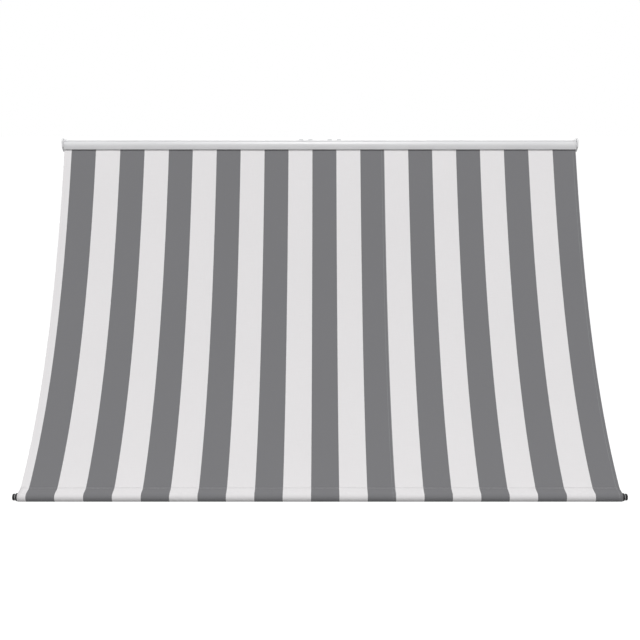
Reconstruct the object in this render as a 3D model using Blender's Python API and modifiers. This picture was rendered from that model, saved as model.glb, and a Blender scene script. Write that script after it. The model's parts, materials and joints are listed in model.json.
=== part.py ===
"""Striped drop-arm awning with a motorised roller.

Metres, +Z up, +X to the right. The wall is the plane y = 0 and the cloth reaches out toward -Y.
z = 0 is the height of the roller's axis. The awning is drawn let out, with its arms on their stops.
Section points are (y, z) pairs, because every long piece runs along X.
"""

import math

import bmesh
import bpy
from mathutils import Matrix

# Clearances
FACE_GAP = 0.0003
RUNNING_GAP = 0.0005
CORNER_STEPS = 6

# Cloth and its stripes
CLOTH_WIDTH = 3.000
CLOTH_THICK = 0.0006
ROLL_CLOTH_THICK = 0.00035
LEFT_STRIP = 0.0428
OUTER_STRIPE = 0.1426
INNER_STRIPE = 0.1404
RIGHT_STRIPE = 0.1430
OUTER_COUNT = 4
INNER_COUNT = 14
SAG_RADIUS = 1.240
CLOTH_STEPS = 30

# Front bar
BAR_REACH = 1.2567
BAR_DROP = 1.6873
BAR_TUBE_RADIUS = 0.0220
BAR_TUBE_WALL = 0.0015
BAR_TUBE_INSET = 0.0035
HEM_LENGTH = 0.046
HEM_ANGLE = math.radians(37)

# Black plugs in the ends of the front bar
PLUG_LENGTH = 0.0260
PLUG_RIM_RADIUS = BAR_TUBE_RADIUS - 0.0020
PLUG_NOSE_RADIUS = BAR_TUBE_RADIUS - 0.0052
PLUG_GROOVE_RADIUS = BAR_TUBE_RADIUS - 0.0080
PLUG_RIM_LENGTH = 0.0095
PLUG_NOSE_LENGTH = 0.0100
PLUG_INSERT = 0.040
PLUG_EDGE = 0.0015
PLUG_COLLAR_RADIUS = BAR_TUBE_RADIUS - 0.0004

# Place of the front bar when the awning is wound in
PARK_REACH = 0.100
PARK_DROP = 0.080

# Arms
ARM_INSET = 0.100
ARM_HEIGHT = 0.040
ARM_WIDTH = 0.020
ARM_WALL = 0.002
ARM_STANDOFF = 0.045
ARM_FOOT_CLEAR = 0.042
ARM_TIP_CLEAR = 0.060
ARM_INSERT = 0.050
TIP_PIN_OFFSET = 0.038
TIP_PIN_ANGLE = math.radians(18)
TIP_PIN_RADIUS = 0.0040
TIP_EYE_RADIUS = 0.0100
TIP_NECK_END = 0.016
TIP_NECK_SHOULDER = 0.004
PIVOT_PIN_RADIUS = 0.0060
PIVOT_BUSH_WALL = 0.0015
PIN_HEAD_EXTRA = 0.0025
PIN_HEAD_LENGTH = 0.0025
PIN_CHAMFER = 0.0008

# Saddles that carry the tip pins on the back of the front tube
SADDLE_WALL = 0.003
SADDLE_EYE_RADIUS = 0.009
SADDLE_CHEEK = 0.005
SADDLE_LOW_ANGLE = math.radians(-48)
SADDLE_HIGH_ANGLE = math.radians(28)
SADDLE_ROOT_ANGLE = math.radians(-20)
SADDLE_EYE_TURN = math.radians(95)
NOTCH_MARGIN = 0.004
NOTCH_SEAM = 0.0016
NOTCH_BEYOND = 0.020

# Wall brackets of the arms
PIVOT_PLATE_WIDTH = 0.064
PIVOT_PLATE_HEIGHT = 0.150
PIVOT_PLATE_THICK = 0.006
PIVOT_CHEEK = 0.004
PIVOT_EYE_RADIUS = 0.018
PIVOT_CHEEK_ROOT = 0.070
PIVOT_CHEEK_BACK = 0.002
PIVOT_EYE_TURN = math.radians(70)
WALL_HOLE_RADIUS = 0.0055
PIVOT_HOLE_SPACING = 0.115

# Head box
HEAD_SIDE_GAP = 0.003
PLATE_THICK = 0.0090
PLATE_TOP = 0.042
PLATE_BACK_TOP = 0.032
PLATE_BOTTOM = -0.038
PLATE_FRONT = -0.080
PLATE_BACK = -0.001
PLATE_FRONT_ROUND = 0.024
PLATE_BREAK = -0.008
PLATE_CHIN = -0.052
PROFILE_WALL = 0.002
PROFILE_TOP = 0.029
PROFILE_BOTTOM = -0.034
PROFILE_BACK = -0.0063
PROFILE_TONGUE = -0.0508
PROFILE_SILL = -0.031
PROFILE_LIP = 0.004
HOOD_WALL = 0.0015
HOOD_START = -0.0455
HOOD_RADIUS = 0.030
HOOD_LIP = -0.0245
HOOD_STEPS = 14
PORT_RADIUS = 0.0038
PORT_BORE = 0.0021
PORT_BITE = 0.0008
PLATE_SCREW_RADIUS = 0.0018
PLATE_SCREW_HEAD = 0.0040
PLATE_SCREW_LENGTH = 0.026

# Wall brackets of the head box
HEAD_BRACKET_INSET = 0.300
HEAD_BRACKET_WIDTH = 0.080
CENTRE_BRACKET_WIDTH = 0.250
BRACKET_THICK = 0.006
BRACKET_TOP = 0.026
BRACKET_BOTTOM = -0.074
LEDGE_THICK = 0.004
LEDGE_REACH = 0.030
HEAD_HOLE_Z = -0.056
HEAD_HOLE_SPACING = 0.044
CENTRE_HOLE_SPACING = 0.180
HOOK_NEAR = 0.057
HOOK_FAR = 0.112
HOOK_WIDTH = 0.026
HOOK_RISE = 0.0042
HOOK_REACH = 0.020
HOOK_BACK = 0.0005
HOOK_TIP = 0.0016
HOOK_ROOT = 0.004
CLAMP_SCREW_RADIUS = 0.0030
CLAMP_SCREW_HEAD = 0.0055
CLAMP_SCREW_Y = -0.0210

# Roller
ROLLER_Y = -0.036
ROLLER_RADIUS = 0.018
ROLLER_WALL = 0.0012
ROLLER_END_GAP = 0.0045
ROLL_TURNS = 1.75
ROLL_TURN_STEPS = 36
ROLL_LAYER_GAP = 0.00015
CLOTH_LEAVE_ANGLE = math.radians(23)
IDLER_LENGTH = 0.045
IDLER_FLANGE = 0.0017
IDLER_PIN_RADIUS = 0.005
BUSH_RADIUS = 0.008
BUSH_FLANGE_RADIUS = 0.012
BUSH_FLANGE = 0.0019
PLATE_SINK = 0.001

# Tube motor
MOTOR_RADIUS = 0.014
MOTOR_LENGTH = 0.480
MOTOR_SHAFT_RADIUS = 0.005
MOTOR_SHAFT_LENGTH = 0.030
MOTOR_HEAD_RADIUS = 0.017
MOTOR_CHAMFER = 0.001
DRIVE_INSET = 0.006
CROWN_INSET = 0.001
DRIVE_WIDTH = 0.016
CROWN_WIDTH = 0.024
GLAND_RADIUS = 0.0045
GLAND_STEM_RADIUS = 0.0032
GLAND_BORE = 0.0023
GLAND_LENGTH = 0.014
GLAND_STEM = 0.006
GLAND_NOSE = 0.004
GLAND_NOSE_RADIUS = 0.0034
GLAND_HOLE_SPARE = 0.001
GLAND_Y = -0.014

# Finishes
ROUND_STEPS = 32
FINE_STEPS = 48
SHARP_ANGLE = math.radians(35)
GREY = (0.181, 0.181, 0.189)
WHITE = (0.766, 0.752, 0.760)
ALUMINIUM_WHITE = (0.70, 0.70, 0.71)
STEEL = (0.55, 0.56, 0.57)
BLACK = (0.012, 0.012, 0.013)
GALVANISED = (0.48, 0.49, 0.50)
CAST = (0.60, 0.60, 0.61)
NYLON = (0.72, 0.72, 0.70)

SIDES = ((-1, "left"), (1, "right"))
PARTS_NAME = "fabric_awning"
CUTTERS_NAME = "cutters"


# Scene and materials


def clear_scene():
    for old in list(bpy.data.objects):
        bpy.data.objects.remove(old, do_unlink=True)
    for name in (PARTS_NAME, CUTTERS_NAME):
        group = bpy.data.collections.new(name)
        bpy.context.scene.collection.children.link(group)


def material(name, colour, roughness, metallic=0.0):
    found = bpy.data.materials.get(name)
    if found:
        return found
    made = bpy.data.materials.new(name)
    made.use_nodes = True
    shader = made.node_tree.nodes["Principled BSDF"]
    shader.inputs["Base Color"].default_value = (*colour, 1.0)
    shader.inputs["Roughness"].default_value = roughness
    shader.inputs["Metallic"].default_value = metallic
    made.diffuse_color = (*colour, 1.0)
    return made


def coated():
    return material("white_coated_aluminium", ALUMINIUM_WHITE, 0.35)


def steel():
    return material("zinc_plated_steel", STEEL, 0.4, 1.0)


def galvanised():
    return material("galvanised_steel", GALVANISED, 0.5, 1.0)


def cast():
    return material("cast_aluminium", CAST, 0.45, 1.0)


def nylon():
    return material("nylon", NYLON, 0.5)


def black_plastic():
    return material("black_plastic", BLACK, 0.45)


def cloth_materials():
    return (material("white_stripe", WHITE, 0.9), material("grey_stripe", GREY, 0.9))


# Mesh helpers


def add_object(name, data, cutter=False):
    made = bpy.data.objects.new(name, data)
    bpy.data.collections[CUTTERS_NAME if cutter else PARTS_NAME].objects.link(made)
    if cutter:
        made.hide_render = True
        made.display_type = "WIRE"
    return made


def finish(piece, *finishes):
    for one in finishes:
        piece.data.materials.append(one)
    return piece


def arc(centre, radius, start, end, steps):
    """Points on an arc, with angles in radians from +y toward +z."""
    return [
        (
            centre[0] + radius * math.cos(start + (end - start) * i / steps),
            centre[1] + radius * math.sin(start + (end - start) * i / steps),
        )
        for i in range(steps + 1)
    ]


def ring(centre, radius, steps=ROUND_STEPS):
    return arc(centre, radius, 0.0, 2 * math.pi, steps)[:-1]


def polar(centre, radius, angle):
    return (centre[0] + radius * math.cos(angle), centre[1] + radius * math.sin(angle))


def prism(name, rings, low_x, high_x, cutter=False):
    """Solid of an outline in the (y, z) plane, with holes, drawn out along X."""
    curve = bpy.data.curves.new(name, "CURVE")
    curve.dimensions = "2D"
    curve.fill_mode = "BOTH"
    curve.extrude = (high_x - low_x) / 2
    for points in rings:
        spline = curve.splines.new("POLY")
        spline.points.add(len(points) - 1)
        for point, place in zip(spline.points, points):
            point.co = (place[0], place[1], 0.0, 1.0)
        spline.use_cyclic_u = True
    shape = add_object(name + "_outline", curve)
    shape.rotation_euler = (math.pi / 2, 0.0, math.pi / 2)
    shape.location = ((low_x + high_x) / 2, 0.0, 0.0)
    bpy.context.view_layer.update()
    evaluated = shape.evaluated_get(bpy.context.evaluated_depsgraph_get())
    mesh = bpy.data.meshes.new_from_object(evaluated)
    weld(mesh)
    made = add_object(name, mesh, cutter)
    made.matrix_world = shape.matrix_world
    bpy.data.objects.remove(shape, do_unlink=True)
    return made


def weld(mesh):
    work = bmesh.new()
    work.from_mesh(mesh)
    bmesh.ops.remove_doubles(work, verts=work.verts, dist=1e-6)
    bmesh.ops.recalc_face_normals(work, faces=work.faces)
    work.to_mesh(mesh)
    work.free()


def turned(name, stations, centre, bore=None, steps=ROUND_STEPS, cutter=False, upright=False):
    """Turned solid about a line along X, or along Z where upright.

    stations are (place along the line, radius) pairs with rising places, and bore is the same for a hole
    that goes right through. centre is the line's (y, z), or its (x, y) where upright.
    """
    profile = [(radius, 0.0, along) for along, radius in reversed(stations)]
    if bore:
        profile += [(radius, 0.0, along) for along, radius in bore]
        edges = [(i, (i + 1) % len(profile)) for i in range(len(profile))]
    else:
        profile = [(0.0, 0.0, stations[-1][0])] + profile + [(0.0, 0.0, stations[0][0])]
        edges = [(i, i + 1) for i in range(len(profile) - 1)]
    mesh = bpy.data.meshes.new(name)
    mesh.from_pydata(profile, edges, [])
    made = add_object(name, mesh, cutter)
    screw = made.modifiers.new("turn", "SCREW")
    screw.steps = steps
    screw.render_steps = steps
    screw.use_merge_vertices = True
    screw.merge_threshold = 0.00001
    if upright:
        made.location = (centre[0], centre[1], 0.0)
    else:
        made.rotation_euler = (0.0, math.pi / 2, 0.0)
        made.location = (0.0, centre[0], centre[1])
    return made


def pipe(name, low_x, high_x, radius, bore_radius, centre, **options):
    inside = [(low_x, bore_radius), (high_x, bore_radius)]
    return turned(name, [(low_x, radius), (high_x, radius)], centre, bore=inside, **options)


def block(name, low, high, cutter=False, bevel=0.0):
    mesh = bpy.data.meshes.new(name)
    work = bmesh.new()
    bmesh.ops.create_cube(work, size=1.0)
    size = [high[i] - low[i] for i in range(3)]
    bmesh.ops.scale(work, vec=size, verts=work.verts)
    work.to_mesh(mesh)
    work.free()
    made = add_object(name, mesh, cutter)
    made.location = [(high[i] + low[i]) / 2 for i in range(3)]
    if bevel:
        rounded = made.modifiers.new("edges", "BEVEL")
        rounded.width = bevel
        rounded.segments = 2
    return made


def sheet(name, path, stations, thick):
    """Thin wall along a path of (y, z) points, across the given places in X, centred on the path."""
    mesh = bpy.data.meshes.new(name)
    work = bmesh.new()
    bmesh.ops.create_grid(work, x_segments=len(stations) - 1, y_segments=len(path) - 1, size=1.0)
    for vertex in work.verts:
        across = round((vertex.co.x + 1) / 2 * (len(stations) - 1))
        along = round((vertex.co.y + 1) / 2 * (len(path) - 1))
        vertex.co = (stations[across], *path[along])
    for face in work.faces:
        middle = face.calc_center_median().x
        before = sum(1 for place in stations if place < middle)
        face.material_index = (before - 1) % 2
    work.to_mesh(mesh)
    work.free()
    made = add_object(name, mesh)
    wall = made.modifiers.new("wall", "SOLIDIFY")
    wall.thickness = thick
    wall.offset = 0.0
    wall.use_even_offset = True
    return made


def combine(piece, operation, *tools):
    for tool in tools:
        step = piece.modifiers.new(operation.lower(), "BOOLEAN")
        step.operation = operation
        step.solver = "EXACT"
        step.object = tool
    return piece


def settle(pieces):
    """Applies every piece's modifiers and shades its round faces smooth."""
    graph = bpy.context.evaluated_depsgraph_get()
    meshes = [bpy.data.meshes.new_from_object(piece.evaluated_get(graph)) for piece in pieces]
    for piece, mesh in zip(pieces, meshes):
        piece.modifiers.clear()
        piece.data = mesh
        mesh.shade_smooth()
        mesh.set_sharp_from_angle(angle=SHARP_ANGLE)


def axis_empty(name, place):
    made = bpy.data.objects.new(name, None)
    made.location = place
    made.empty_display_size = 0.05
    bpy.data.collections[PARTS_NAME].objects.link(made)
    return made


def carry(empty, *pieces):
    """Parents pieces to an empty on their joint's axis and leaves them where they are."""
    for piece in pieces:
        piece.parent = empty
        piece.matrix_parent_inverse = Matrix.Translation(empty.location).inverted()


# Places worked out from the driving dimensions

HALF_CLOTH = CLOTH_WIDTH / 2
BAR_TUBE_HALF = HALF_CLOTH - BAR_TUBE_INSET
ARM_X = HALF_CLOTH - ARM_INSET
HEAD_INNER_X = HALF_CLOTH + HEAD_SIDE_GAP
HEAD_BRACKET_X = HALF_CLOTH - HEAD_BRACKET_INSET
ROLLER_HALF = HEAD_INNER_X - ROLLER_END_GAP
ROLLER = (ROLLER_Y, 0.0)
BAR = (-BAR_REACH, -BAR_DROP)
PARKED_BAR = (-PARK_REACH, -PARK_DROP)
TIP_PIN = polar(BAR, TIP_PIN_OFFSET, TIP_PIN_ANGLE)
PARKED_TIP_PIN = polar(PARKED_BAR, TIP_PIN_OFFSET, TIP_PIN_ANGLE)
ROLL_INNER_RADIUS = ROLLER_RADIUS + FACE_GAP
ROLL_PITCH = ROLL_CLOTH_THICK + ROLL_LAYER_GAP
ROLL_OUTER_RADIUS = ROLL_INNER_RADIUS + ROLL_CLOTH_THICK + ROLL_PITCH * ROLL_TURNS
EYE_WIDTH = ARM_WIDTH - 2 * ARM_WALL - 2 * FACE_GAP
PLATE_OUTER_X = HEAD_INNER_X + PLATE_THICK
PLATE_BORE = BUSH_RADIUS + FACE_GAP
PORT_INSET = PROFILE_WALL + PORT_RADIUS - PORT_BITE
PORT_Y = PROFILE_BACK - PORT_INSET
PORT_HEIGHTS = (
    PROFILE_TOP - PORT_INSET,
    PROFILE_BOTTOM + PORT_INSET,
)


def pivot_place():
    """The arm's wall pivot, equally far from the tip pin when let out and when parked."""
    out_y = TIP_PIN[0] + ARM_STANDOFF
    in_y = PARKED_TIP_PIN[0] + ARM_STANDOFF
    height = out_y**2 - in_y**2 + TIP_PIN[1] ** 2 - PARKED_TIP_PIN[1] ** 2
    return (-ARM_STANDOFF, height / (2 * (TIP_PIN[1] - PARKED_TIP_PIN[1])))


PIVOT = pivot_place()
ARM_LENGTH = math.dist(PIVOT, TIP_PIN)
ARM_ANGLE = math.atan2(PIVOT[1] - TIP_PIN[1], PIVOT[0] - TIP_PIN[0])


def stripe_edges():
    """Places in X where the cloth changes colour, with the two edges of the cloth."""
    edges = [-HALF_CLOTH, -HALF_CLOTH + LEFT_STRIP]
    widths = [OUTER_STRIPE] * OUTER_COUNT + [INNER_STRIPE] * INNER_COUNT
    while edges[-1] < HALF_CLOTH:
        edges.append(edges[-1] + (widths.pop(0) if widths else RIGHT_STRIPE))
    return edges[:-1] + [HALF_CLOTH]


def hanging_path(start, end, steps):
    """Points of a hanging chain from start to end, whose lowest point has radius SAG_RADIUS."""
    low, high = -10.0, start[0]
    drop = (start[1] - end[1]) / SAG_RADIUS
    for _ in range(60):
        foot = (low + high) / 2
        rise = math.cosh((start[0] - foot) / SAG_RADIUS) - math.cosh((end[0] - foot) / SAG_RADIUS)
        if rise > drop:
            low = foot
        else:
            high = foot
    base = start[1] - SAG_RADIUS * math.cosh((start[0] - foot) / SAG_RADIUS)
    places = [start[0] + (end[0] - start[0]) * i / steps for i in range(steps + 1)]
    return [(y, base + SAG_RADIUS * math.cosh((y - foot) / SAG_RADIUS)) for y in places]


# Head box


def end_plate(name, side):
    outline = [(PLATE_BACK, PLATE_BOTTOM), (PLATE_BACK, PLATE_BACK_TOP)]
    top_centre = (PLATE_FRONT + PLATE_FRONT_ROUND, PLATE_TOP - PLATE_FRONT_ROUND)
    outline += arc(top_centre, PLATE_FRONT_ROUND, math.pi / 2, math.pi, CORNER_STEPS)
    outline += [(PLATE_FRONT, PLATE_BREAK), (PLATE_CHIN, PLATE_BOTTOM)]
    holes = [ring(ROLLER, PLATE_BORE, 24)]
    holes += [ring((PORT_Y, height), PORT_BORE, 12) for height in PORT_HEIGHTS]
    ends = sorted((side * HEAD_INNER_X, side * PLATE_OUTER_X))
    return finish(prism(name, [outline] + holes, *ends), coated())


def plate_screw(name, side, height):
    under_head = PLATE_OUTER_X + FACE_GAP
    shank = [
        (under_head - PLATE_SCREW_LENGTH, PLATE_SCREW_RADIUS),
        (under_head, PLATE_SCREW_RADIUS),
        (under_head, PLATE_SCREW_HEAD),
        (under_head + PLATE_SCREW_RADIUS, PLATE_SCREW_HEAD),
        (under_head + PLATE_SCREW_RADIUS + PIN_CHAMFER, PLATE_SCREW_HEAD - PIN_CHAMFER),
    ]
    return finish(turned(name, mirrored(shank, side), (PORT_Y, height), steps=16), steel())


def mirrored(stations, side):
    """Stations on the right as they are, or turned over to the left."""
    if side > 0:
        return stations
    return [(-along, radius) for along, radius in reversed(stations)]


def back_profile():
    middle = PROFILE_WALL / 2
    back = PROFILE_BACK - middle
    top = PROFILE_TOP - middle
    seat = top - HOOD_WALL - PROFILE_WALL / 2
    path = [
        (PROFILE_SILL, PROFILE_BOTTOM + PROFILE_LIP),
        (PROFILE_SILL, PROFILE_BOTTOM + middle),
        (back, PROFILE_BOTTOM + middle),
        (back, top),
        (HOOD_START + 2 * PROFILE_WALL, top),
        (HOOD_START + 2 * PROFILE_WALL, seat),
        (PROFILE_TONGUE, seat),
    ]
    half = HEAD_INNER_X - FACE_GAP
    made = sheet("back_profile", path, [-half, half], PROFILE_WALL)
    for height, name in zip(PORT_HEIGHTS, ("upper", "lower")):
        place = (PORT_Y, height)
        port = pipe(name + "_port", -half, half, PORT_RADIUS, PORT_BORE, place, steps=16, cutter=True)
        combine(made, "UNION", port)
    for name, x in head_bracket_places():
        hole = clamp_hole(name + "_flange_hole", x)
        combine(made, "DIFFERENCE", hole)
    return finish(made, coated())


def front_hood():
    radius = HOOD_RADIUS - HOOD_WALL / 2
    centre = (HOOD_START, PROFILE_TOP - HOOD_RADIUS)
    path = arc(centre, radius, math.pi / 2, math.pi, HOOD_STEPS)
    path.append((path[-1][0], HOOD_LIP))
    half = HEAD_INNER_X - FACE_GAP
    return finish(sheet("front_hood", path, [-half, half], HOOD_WALL), coated())


def head_bracket_places():
    return (
        ("left_head_bracket", -HEAD_BRACKET_X),
        ("centre_head_bracket", 0.0),
        ("right_head_bracket", HEAD_BRACKET_X),
    )


def clamp_hole(name, x):
    radius = CLAMP_SCREW_RADIUS + FACE_GAP
    low = PROFILE_BOTTOM - 2 * LEDGE_THICK
    high = PROFILE_BOTTOM + 2 * PROFILE_WALL
    stations = [(low, radius), (high, radius)]
    return turned(name, stations, (x, CLAMP_SCREW_Y), steps=16, cutter=True, upright=True)


def wall_hole(name, x, z):
    """Cutter for a bolt hole that runs along Y through a plate on the wall."""
    depth = 4 * BRACKET_THICK
    hole = turned(name, [(-depth, WALL_HOLE_RADIUS), (depth, WALL_HOLE_RADIUS)], (0.0, 0.0), cutter=True)
    hole.rotation_euler = (math.pi / 2, 0.0, 0.0)
    hole.location = (x, 0.0, z)
    return hole


def head_bracket(name, x):
    centre = name.startswith("centre")
    width = CENTRE_BRACKET_WIDTH if centre else HEAD_BRACKET_WIDTH
    spacing = CENTRE_HOLE_SPACING if centre else HEAD_HOLE_SPACING
    low, high = x - width / 2, x + width / 2
    ledge_top = PROFILE_BOTTOM - FACE_GAP
    section = [
        (0.0, BRACKET_BOTTOM),
        (0.0, BRACKET_TOP),
        (-BRACKET_THICK, BRACKET_TOP),
        (-BRACKET_THICK, ledge_top),
        (-LEDGE_REACH, ledge_top),
        (-LEDGE_REACH, ledge_top - LEDGE_THICK),
        (-BRACKET_THICK, ledge_top - LEDGE_THICK),
        (-BRACKET_THICK, BRACKET_BOTTOM),
    ]
    made = prism(name, [section], low, high)
    if centre:
        combine(made, "UNION", *[hook(name, place) for place in hook_places()])
    combine(made, "DIFFERENCE", clamp_hole(name + "_clamp_hole", x))
    for side in (-1, 1):
        hole = wall_hole(f"{name}_bolt_hole_{side}", x + side * spacing / 2, HEAD_HOLE_Z)
        combine(made, "DIFFERENCE", hole)
    return finish(made, galvanised())


def hook_places():
    return (-HOOK_FAR, -HOOK_NEAR, HOOK_NEAR, HOOK_FAR)


def hook(name, x):
    """Hook that reaches over the top of the back profile."""
    seat = PROFILE_TOP + FACE_GAP
    root = BRACKET_TOP - HOOK_ROOT
    section = [
        (-HOOK_BACK, root),
        (-HOOK_BACK, PROFILE_TOP + HOOK_RISE),
        (-HOOK_REACH, seat + HOOK_TIP),
        (-HOOK_REACH, seat),
        (-BRACKET_THICK, seat),
        (-BRACKET_THICK, root),
    ]
    label = f"{name}_hook_{round(x * 1000)}"
    return prism(label, [section], x - HOOK_WIDTH / 2, x + HOOK_WIDTH / 2, cutter=True)


def clamp_screw(name, x):
    head_top = PROFILE_BOTTOM - 2 * FACE_GAP - LEDGE_THICK
    head = CLAMP_SCREW_RADIUS
    stations = [
        (head_top - head, CLAMP_SCREW_HEAD),
        (head_top, CLAMP_SCREW_HEAD),
        (head_top, CLAMP_SCREW_RADIUS),
        (PROFILE_BOTTOM + 4 * PROFILE_WALL, CLAMP_SCREW_RADIUS),
    ]
    return finish(turned(name, stations, (x, CLAMP_SCREW_Y), steps=16, upright=True), steel())


# Roller and motor


def roller_tube():
    bore = ROLLER_RADIUS - ROLLER_WALL
    made = pipe("roller_tube", -ROLLER_HALF, ROLLER_HALF, ROLLER_RADIUS, bore, ROLLER, steps=FINE_STEPS)
    return finish(made, galvanised())


def cloth_roll():
    """The turns of cloth that stay on the roller when the awning is let out."""
    steps = round(ROLL_TURNS * ROLL_TURN_STEPS)
    leave = math.pi - CLOTH_LEAVE_ANGLE
    path = []
    for i in range(steps + 1):
        radius = ROLL_INNER_RADIUS + ROLL_CLOTH_THICK / 2 + ROLL_PITCH * ROLL_TURNS * i / steps
        path.append(polar(ROLLER, radius, leave + 2 * math.pi * ROLL_TURNS * (i / steps - 1)))
    made = sheet("cloth_roll", path, stripe_edges(), ROLL_CLOTH_THICK)
    return finish(made, *cloth_materials())


def idler_plug():
    tube_bore = ROLLER_RADIUS - ROLLER_WALL - FACE_GAP
    tube_end = -ROLLER_HALF - FACE_GAP
    stations = [
        (-PLATE_OUTER_X + 2 * PLATE_SINK, IDLER_PIN_RADIUS),
        (tube_end - IDLER_FLANGE, IDLER_PIN_RADIUS),
        (tube_end - IDLER_FLANGE, ROLLER_RADIUS),
        (tube_end, ROLLER_RADIUS),
        (tube_end, tube_bore),
        (tube_end + IDLER_LENGTH, tube_bore),
    ]
    return finish(turned("idler_plug", stations, ROLLER), nylon())


def idler_bush():
    outer = [
        (-PLATE_OUTER_X + PLATE_SINK, BUSH_RADIUS),
        (-HEAD_INNER_X + FACE_GAP, BUSH_RADIUS),
        (-HEAD_INNER_X + FACE_GAP, BUSH_FLANGE_RADIUS),
        (-HEAD_INNER_X + FACE_GAP + BUSH_FLANGE, BUSH_FLANGE_RADIUS),
    ]
    bore = IDLER_PIN_RADIUS + FACE_GAP
    inner = [(outer[0][0], bore), (outer[-1][0], bore)]
    return finish(turned("idler_bush", outer, ROLLER, bore=inner), nylon())


def motor_housing():
    end = ROLLER_HALF
    start = end - MOTOR_LENGTH
    stations = [
        (start - MOTOR_SHAFT_LENGTH, MOTOR_SHAFT_RADIUS),
        (start, MOTOR_SHAFT_RADIUS),
        (start, MOTOR_RADIUS - MOTOR_CHAMFER),
        (start + MOTOR_CHAMFER, MOTOR_RADIUS),
        (end, MOTOR_RADIUS),
    ]
    return finish(turned("motor_housing", stations, ROLLER), steel())


def motor_head():
    start = ROLLER_HALF + FACE_GAP
    disc_end = HEAD_INNER_X - FACE_GAP
    stations = [
        (start, MOTOR_HEAD_RADIUS),
        (disc_end, MOTOR_HEAD_RADIUS),
        (disc_end, BUSH_RADIUS),
        (PLATE_OUTER_X - PLATE_SINK, BUSH_RADIUS),
    ]
    return finish(turned("motor_head", stations, ROLLER), black_plastic())


def drive_wheel():
    start = ROLLER_HALF - MOTOR_LENGTH - MOTOR_SHAFT_LENGTH + DRIVE_INSET
    rim = ROLLER_RADIUS - ROLLER_WALL - FACE_GAP
    bore = MOTOR_SHAFT_RADIUS + FACE_GAP
    return finish(pipe("drive_wheel", start, start + DRIVE_WIDTH, rim, bore, ROLLER), nylon())


def motor_crown():
    rim = ROLLER_RADIUS - ROLLER_WALL - FACE_GAP
    bore = MOTOR_RADIUS + RUNNING_GAP
    end = ROLLER_HALF - CROWN_INSET
    return finish(pipe("motor_crown", end - CROWN_WIDTH, end, rim, bore, ROLLER), nylon())


def cable_gland():
    """Gland for the motor's lead, on the underside of the right end plate."""
    top = PLATE_BOTTOM - FACE_GAP
    outer = [
        (top - GLAND_LENGTH, GLAND_NOSE_RADIUS),
        (top - GLAND_LENGTH + GLAND_NOSE, GLAND_RADIUS),
        (top, GLAND_RADIUS),
        (top, GLAND_STEM_RADIUS),
        (top + GLAND_STEM, GLAND_STEM_RADIUS),
    ]
    bore = [(outer[0][0], GLAND_BORE), (outer[-1][0], GLAND_BORE)]
    place = ((HEAD_INNER_X + PLATE_OUTER_X) / 2, GLAND_Y)
    made = turned("cable_gland", outer, place, bore=bore, steps=16, upright=True)
    return finish(made, black_plastic())


def gland_hole():
    radius = GLAND_STEM_RADIUS + FACE_GAP
    low = PLATE_BOTTOM - GLAND_LENGTH
    high = PLATE_BOTTOM + GLAND_STEM + GLAND_HOLE_SPARE
    stations = [(low, radius), (high, radius)]
    place = ((HEAD_INNER_X + PLATE_OUTER_X) / 2, GLAND_Y)
    return turned("gland_hole", stations, place, steps=16, cutter=True, upright=True)


# Cloth and front bar


def awning_cloth():
    """The cloth between the roller and the seam of its hem."""
    reach = ROLL_OUTER_RADIUS + FACE_GAP + CLOTH_THICK / 2
    start = polar(ROLLER, reach, math.pi - CLOTH_LEAVE_ANGLE)
    end = polar(BAR, HEM_LENGTH + CLOTH_THICK, HEM_ANGLE)
    path = hanging_path(start, end, CLOTH_STEPS)
    return finish(sheet("awning_cloth", path, stripe_edges(), CLOTH_THICK), *cloth_materials())


def hem_pocket():
    """The hem sewn round the front tube, notched on its back where the arms take hold."""
    radius = BAR_TUBE_RADIUS + FACE_GAP + CLOTH_THICK / 2
    spread = math.acos(radius / HEM_LENGTH)
    part = CLOTH_THICK / 2 + FACE_GAP / 2
    seam = polar(BAR, HEM_LENGTH, HEM_ANGLE)
    path = [polar(seam, part, HEM_ANGLE + math.pi / 2)]
    path += arc(BAR, radius, HEM_ANGLE + spread, HEM_ANGLE + 2 * math.pi - spread, 20)
    path.append(polar(seam, part, HEM_ANGLE - math.pi / 2))
    made = sheet("hem_pocket", path, stripe_edges(), CLOTH_THICK)
    half = EYE_WIDTH / 2 + RUNNING_GAP + SADDLE_CHEEK + PIN_HEAD_LENGTH + NOTCH_MARGIN
    far = HEM_LENGTH + NOTCH_BEYOND
    corners = [(0.0, -NOTCH_SEAM), (far, -NOTCH_SEAM), (far, -far), (0.0, -far)]
    outline = [polar(BAR, math.hypot(u, v), HEM_ANGLE + math.atan2(v, u)) for u, v in corners]
    for side, label in SIDES:
        middle = side * ARM_X
        notch = prism(label + "_notch", [outline], middle - half, middle + half, cutter=True)
        combine(made, "DIFFERENCE", notch)
    return finish(made, *cloth_materials())


def front_tube():
    bore = BAR_TUBE_RADIUS - BAR_TUBE_WALL
    made = pipe("front_tube", -BAR_TUBE_HALF, BAR_TUBE_HALF, BAR_TUBE_RADIUS, bore, BAR, steps=FINE_STEPS)
    return finish(made, coated())


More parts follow.
